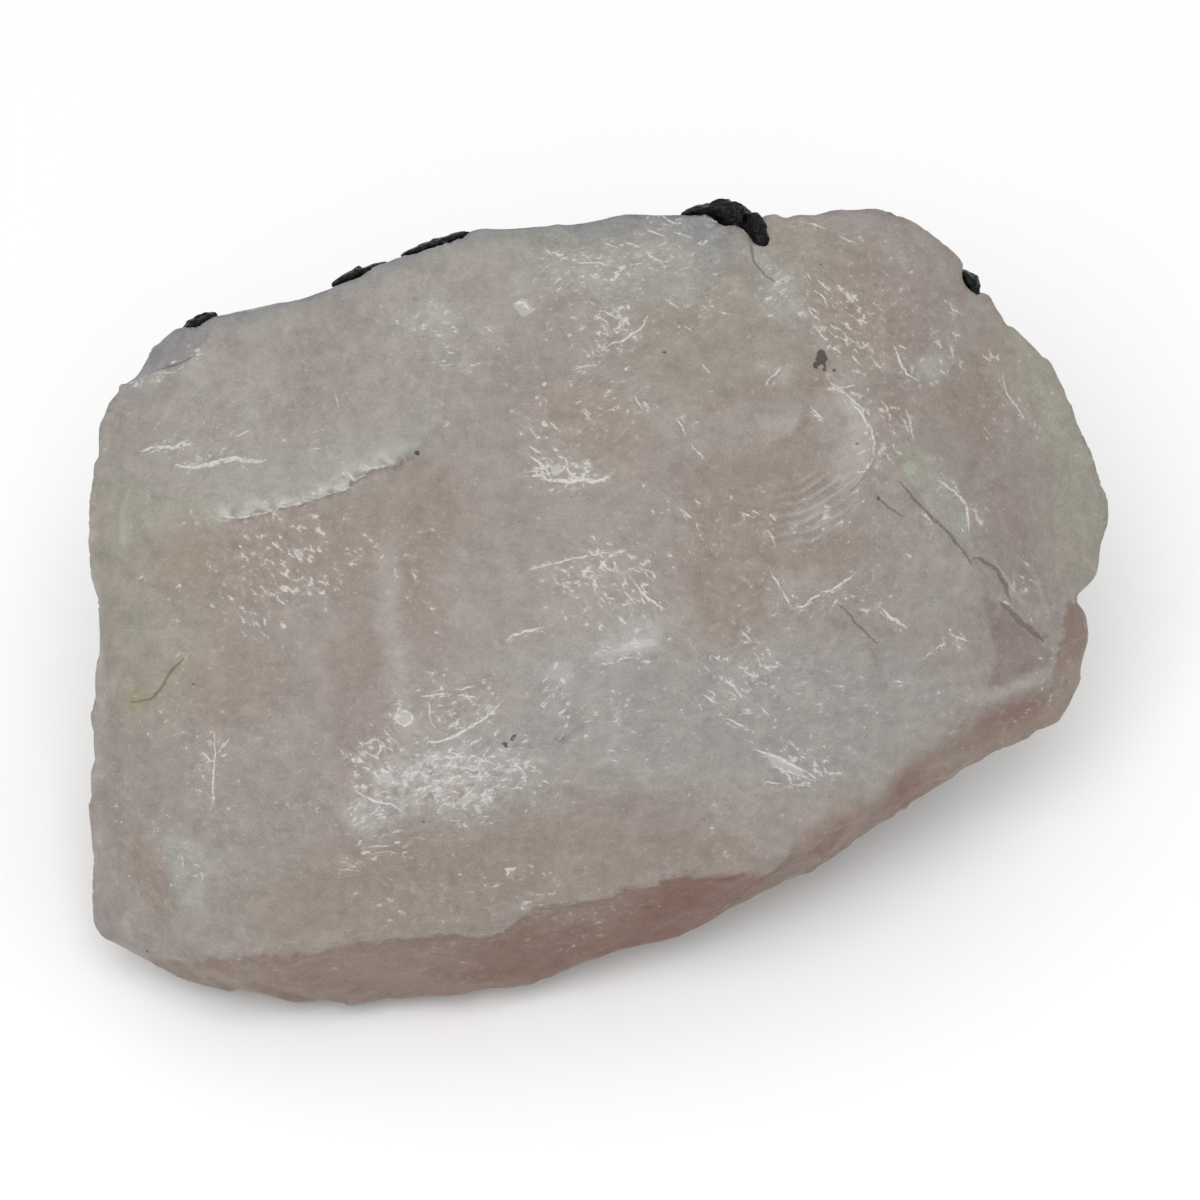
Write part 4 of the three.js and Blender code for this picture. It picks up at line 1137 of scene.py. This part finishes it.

# the glints are painted highlights: near-white laid into the base colour where the lines and wisps are
# drawn
glints = []
for part, half_width in zip(parts_of(tree, distances.outputs["Vector"]),
    parts_of(tree, widths.outputs["Vector"])):
    node = tree.nodes.new("ShaderNodeGroup")
    node.node_tree = line_group
    feed(tree, part, node.inputs["Distance"])
    feed(tree, half_width, node.inputs["Half Width"])
    feed(tree, shake, node.inputs["Shake"])
    glints.append(node.outputs["Mask"])
# the wisps and their haze are painted highlights, laid whiter into the base colour
for amount, turn in zip(parts_of(tree, wisp_amounts.outputs["Vector"]), (-0.05, 0.75, -0.62)):
    node = tree.nodes.new("ShaderNodeGroup")
    node.node_tree = wisp_group
    feed(tree, face_mm, node.inputs["Vector"])
    feed(tree, amount, node.inputs["Amount"])
    node.inputs["Turn"].default_value = turn
    glints.append(maths(tree, "MULTIPLY", node.outputs["Mask"], 0.8))
    base = blend_colour(tree, maths(tree, "MULTIPLY", node.outputs["Glint Haze"], 0.33), base,
        tuple(tint(196, 193, 190)))
all_glints = glints[0]
for mask in glints[1:]:
    all_glints = maths(tree, "MAXIMUM", all_glints, mask)
all_glints = maths(tree, "MULTIPLY", all_glints,
    between(tree, noise(tree, face_mm, 2.6, 2.0, 0.6), 0.22, 0.55))
base = blend_colour(tree, maths(tree, "MULTIPLY", all_glints, 0.85), base, tuple(tint(232, 232, 230)))

crack = tree.nodes.new("ShaderNodeGroup")
crack.node_tree = line_group
feed(tree, distances.outputs["Alpha"], crack.inputs["Distance"])
feed(tree, widths.outputs["Alpha"], crack.inputs["Half Width"])
feed(tree, shake, crack.inputs["Shake"])
base = blend_colour(tree, maths(tree, "MULTIPLY", crack.outputs["Mask"], 0.6), base,
    tuple(tint(108, 92, 82)))
# small darker flecks, from noise
dark_flecks = between(tree, noise(tree, face_mm, 2.3, 2.0, 0.5), 0.70, 0.76)
base = blend_colour(tree, maths(tree, "MULTIPLY", dark_flecks, 0.35), base, tuple(tint(116, 100, 90)))
grains = between(tree, maths(tree, "ADD", grain_depth, shake), -0.04, 0.05)
base = blend_colour(tree, maths(tree, "MULTIPLY", grains, 0.85), base, tuple(INCLUSION))
tree.links.new(base, shader.inputs["Base Color"])

height = maths(tree, "ADD", maths(tree, "MULTIPLY", fine, 0.35), maths(tree, "MULTIPLY", middling, 0.5))
height = maths(tree, "ADD", height, maths(tree, "MULTIPLY", streaks.outputs[0], 0.3))
height = maths(tree, "ADD", height, maths(tree, "MULTIPLY", mottled, 0.12))
height = maths(tree, "SUBTRACT", height, maths(tree, "MULTIPLY", crack.outputs["Mask"], 0.5))
bump = tree.nodes.new("ShaderNodeBump")
bump.inputs["Strength"].default_value = 0.55
bump.inputs["Distance"].default_value = 0.0004
tree.links.new(height, bump.inputs["Height"])
tree.links.new(bump.outputs["Normal"], shader.inputs["Normal"])
tree.links.new(maths(tree, "ADD", 0.42, maths(tree, "MULTIPLY", ragged, 0.25)), shader.inputs["Roughness"])
shader.inputs["IOR"].default_value = 1.54
shader.inputs["Subsurface Weight"].default_value = 0.2
shader.inputs["Subsurface Radius"].default_value = (1.0, 0.8, 0.7)
shader.inputs["Subsurface Scale"].default_value = 0.0015
mesh.materials.append(quartz_material)

# The black mineral
# Patches of a black mineral grown into the crest of the stone, each a crust of small splintery
# crystals that lies in a pocket of the quartz and stands a little proud of it.
CRUST_CELLS = (30, 30, 30)
CRUST_OVERLAP = 0.26 * MM  # how far a crust reaches over its pocket's rim
black_material = bpy.data.materials.new("black_mineral")
black_material.use_nodes = True
black = black_material.node_tree
black_shader = black.nodes["Principled BSDF"]
black_mm = scaled(black, black.nodes.new("ShaderNodeTexCoord").outputs["Object"], (1000.0, 1000.0, 1000.0))
patchy = between(black, noise(black, black_mm, 0.9, 4.0, 0.6), 0.5, 0.75)
black_colour = blend_colour(black, patchy, (0.0015, 0.0016, 0.002), (0.012, 0.013, 0.017))
# small lighter spots are painted glints on the black crystals
black_glints = between(black, noise(black, black_mm, 3.2, 2.0, 0.6), 0.69, 0.76)
black_colour = blend_colour(black, black_glints, black_colour, (0.10, 0.10, 0.12))
black.links.new(black_colour, black_shader.inputs["Base Color"])
black_bump = black.nodes.new("ShaderNodeBump")
black_bump.inputs["Strength"].default_value = 0.8
black_bump.inputs["Distance"].default_value = 0.0004
black.links.new(noise(black, black_mm, 1.1, 4.0, 0.6), black_bump.inputs["Height"])
black.links.new(black_bump.outputs["Normal"], black_shader.inputs["Normal"])
black_shader.inputs["Roughness"].default_value = 0.24
black_shader.inputs["Specular IOR Level"].default_value = 0.16

for name in [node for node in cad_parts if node.startswith("black_mineral")]:
    triangles = triangles_of(name)
    unit, crust_squares = joined(box_squares(CRUST_CELLS, FINEST), CRUST_CELLS, FINEST)
    middle = triangles.reshape(-1, 3).mean(0)
    ways = unit / np.linalg.norm(unit, axis=1)[:, None]
    crust = middle + ways * (reach(ways, triangles, middle) + CRUST_OVERLAP)[:, None]
    splinters = 0.6 - 2.2 * np.abs(gradient_noise(crust / MM, 1.3, 101)) + 0.5 * gradient_noise(crust / MM,
        0.5, 102)
    crust = crust + ways * (0.2 * MM * splinters)[:, None]
    crust_mesh = bpy.data.meshes.new(name + "_crust")
    crust_mesh.from_pydata(crust.tolist(), [], crust_squares)
    crust_mesh.materials.append(black_material)
    piece = bpy.data.objects.new(name + "_crust", crust_mesh)
    bpy.context.scene.collection.objects.link(piece)
    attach(piece, "root")
    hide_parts(name)

# The floor and the light
# A plain pale floor and soft studio light from above, as for a picture on a white ground.
FLOOR_SIDE = 6.0
floor_mesh = bpy.data.meshes.new("floor")
half = FLOOR_SIDE / 2
floor_mesh.from_pydata([(-half, -half, 0), (half, -half, 0), (half, half, 0), (-half, half, 0)], [],
    [(0, 1, 2, 3)])
floor = bpy.data.objects.new("floor", floor_mesh)
bpy.context.scene.collection.objects.link(floor)
floor_material = bpy.data.materials.new("pale_floor")
floor_material.use_nodes = True
floor_material.node_tree.nodes["Principled BSDF"].inputs["Base Color"].default_value = (0.9, 0.9, 0.9, 1)
floor_mesh.materials.append(floor_material)

world = bpy.data.worlds.new("studio")
bpy.context.scene.world = world
world.use_nodes = True
world.node_tree.nodes["Background"].inputs["Color"].default_value = (1, 1, 1, 1)
world.node_tree.nodes["Background"].inputs["Strength"].default_value = 0.75
bpy.context.scene.view_settings.view_transform = "Standard"

lamp = bpy.data.objects.new("lamp", bpy.data.lights.new("lamp", "AREA"))
lamp.data.size = 0.6
lamp.data.energy = 4.2
lamp.location = (-0.08, -0.35, 0.8)
lamp.rotation_euler = (Vector((0, 0, 0.02)) - lamp.location).to_track_quat("-Z", "Y").to_euler()
bpy.context.scene.collection.objects.link(lamp)
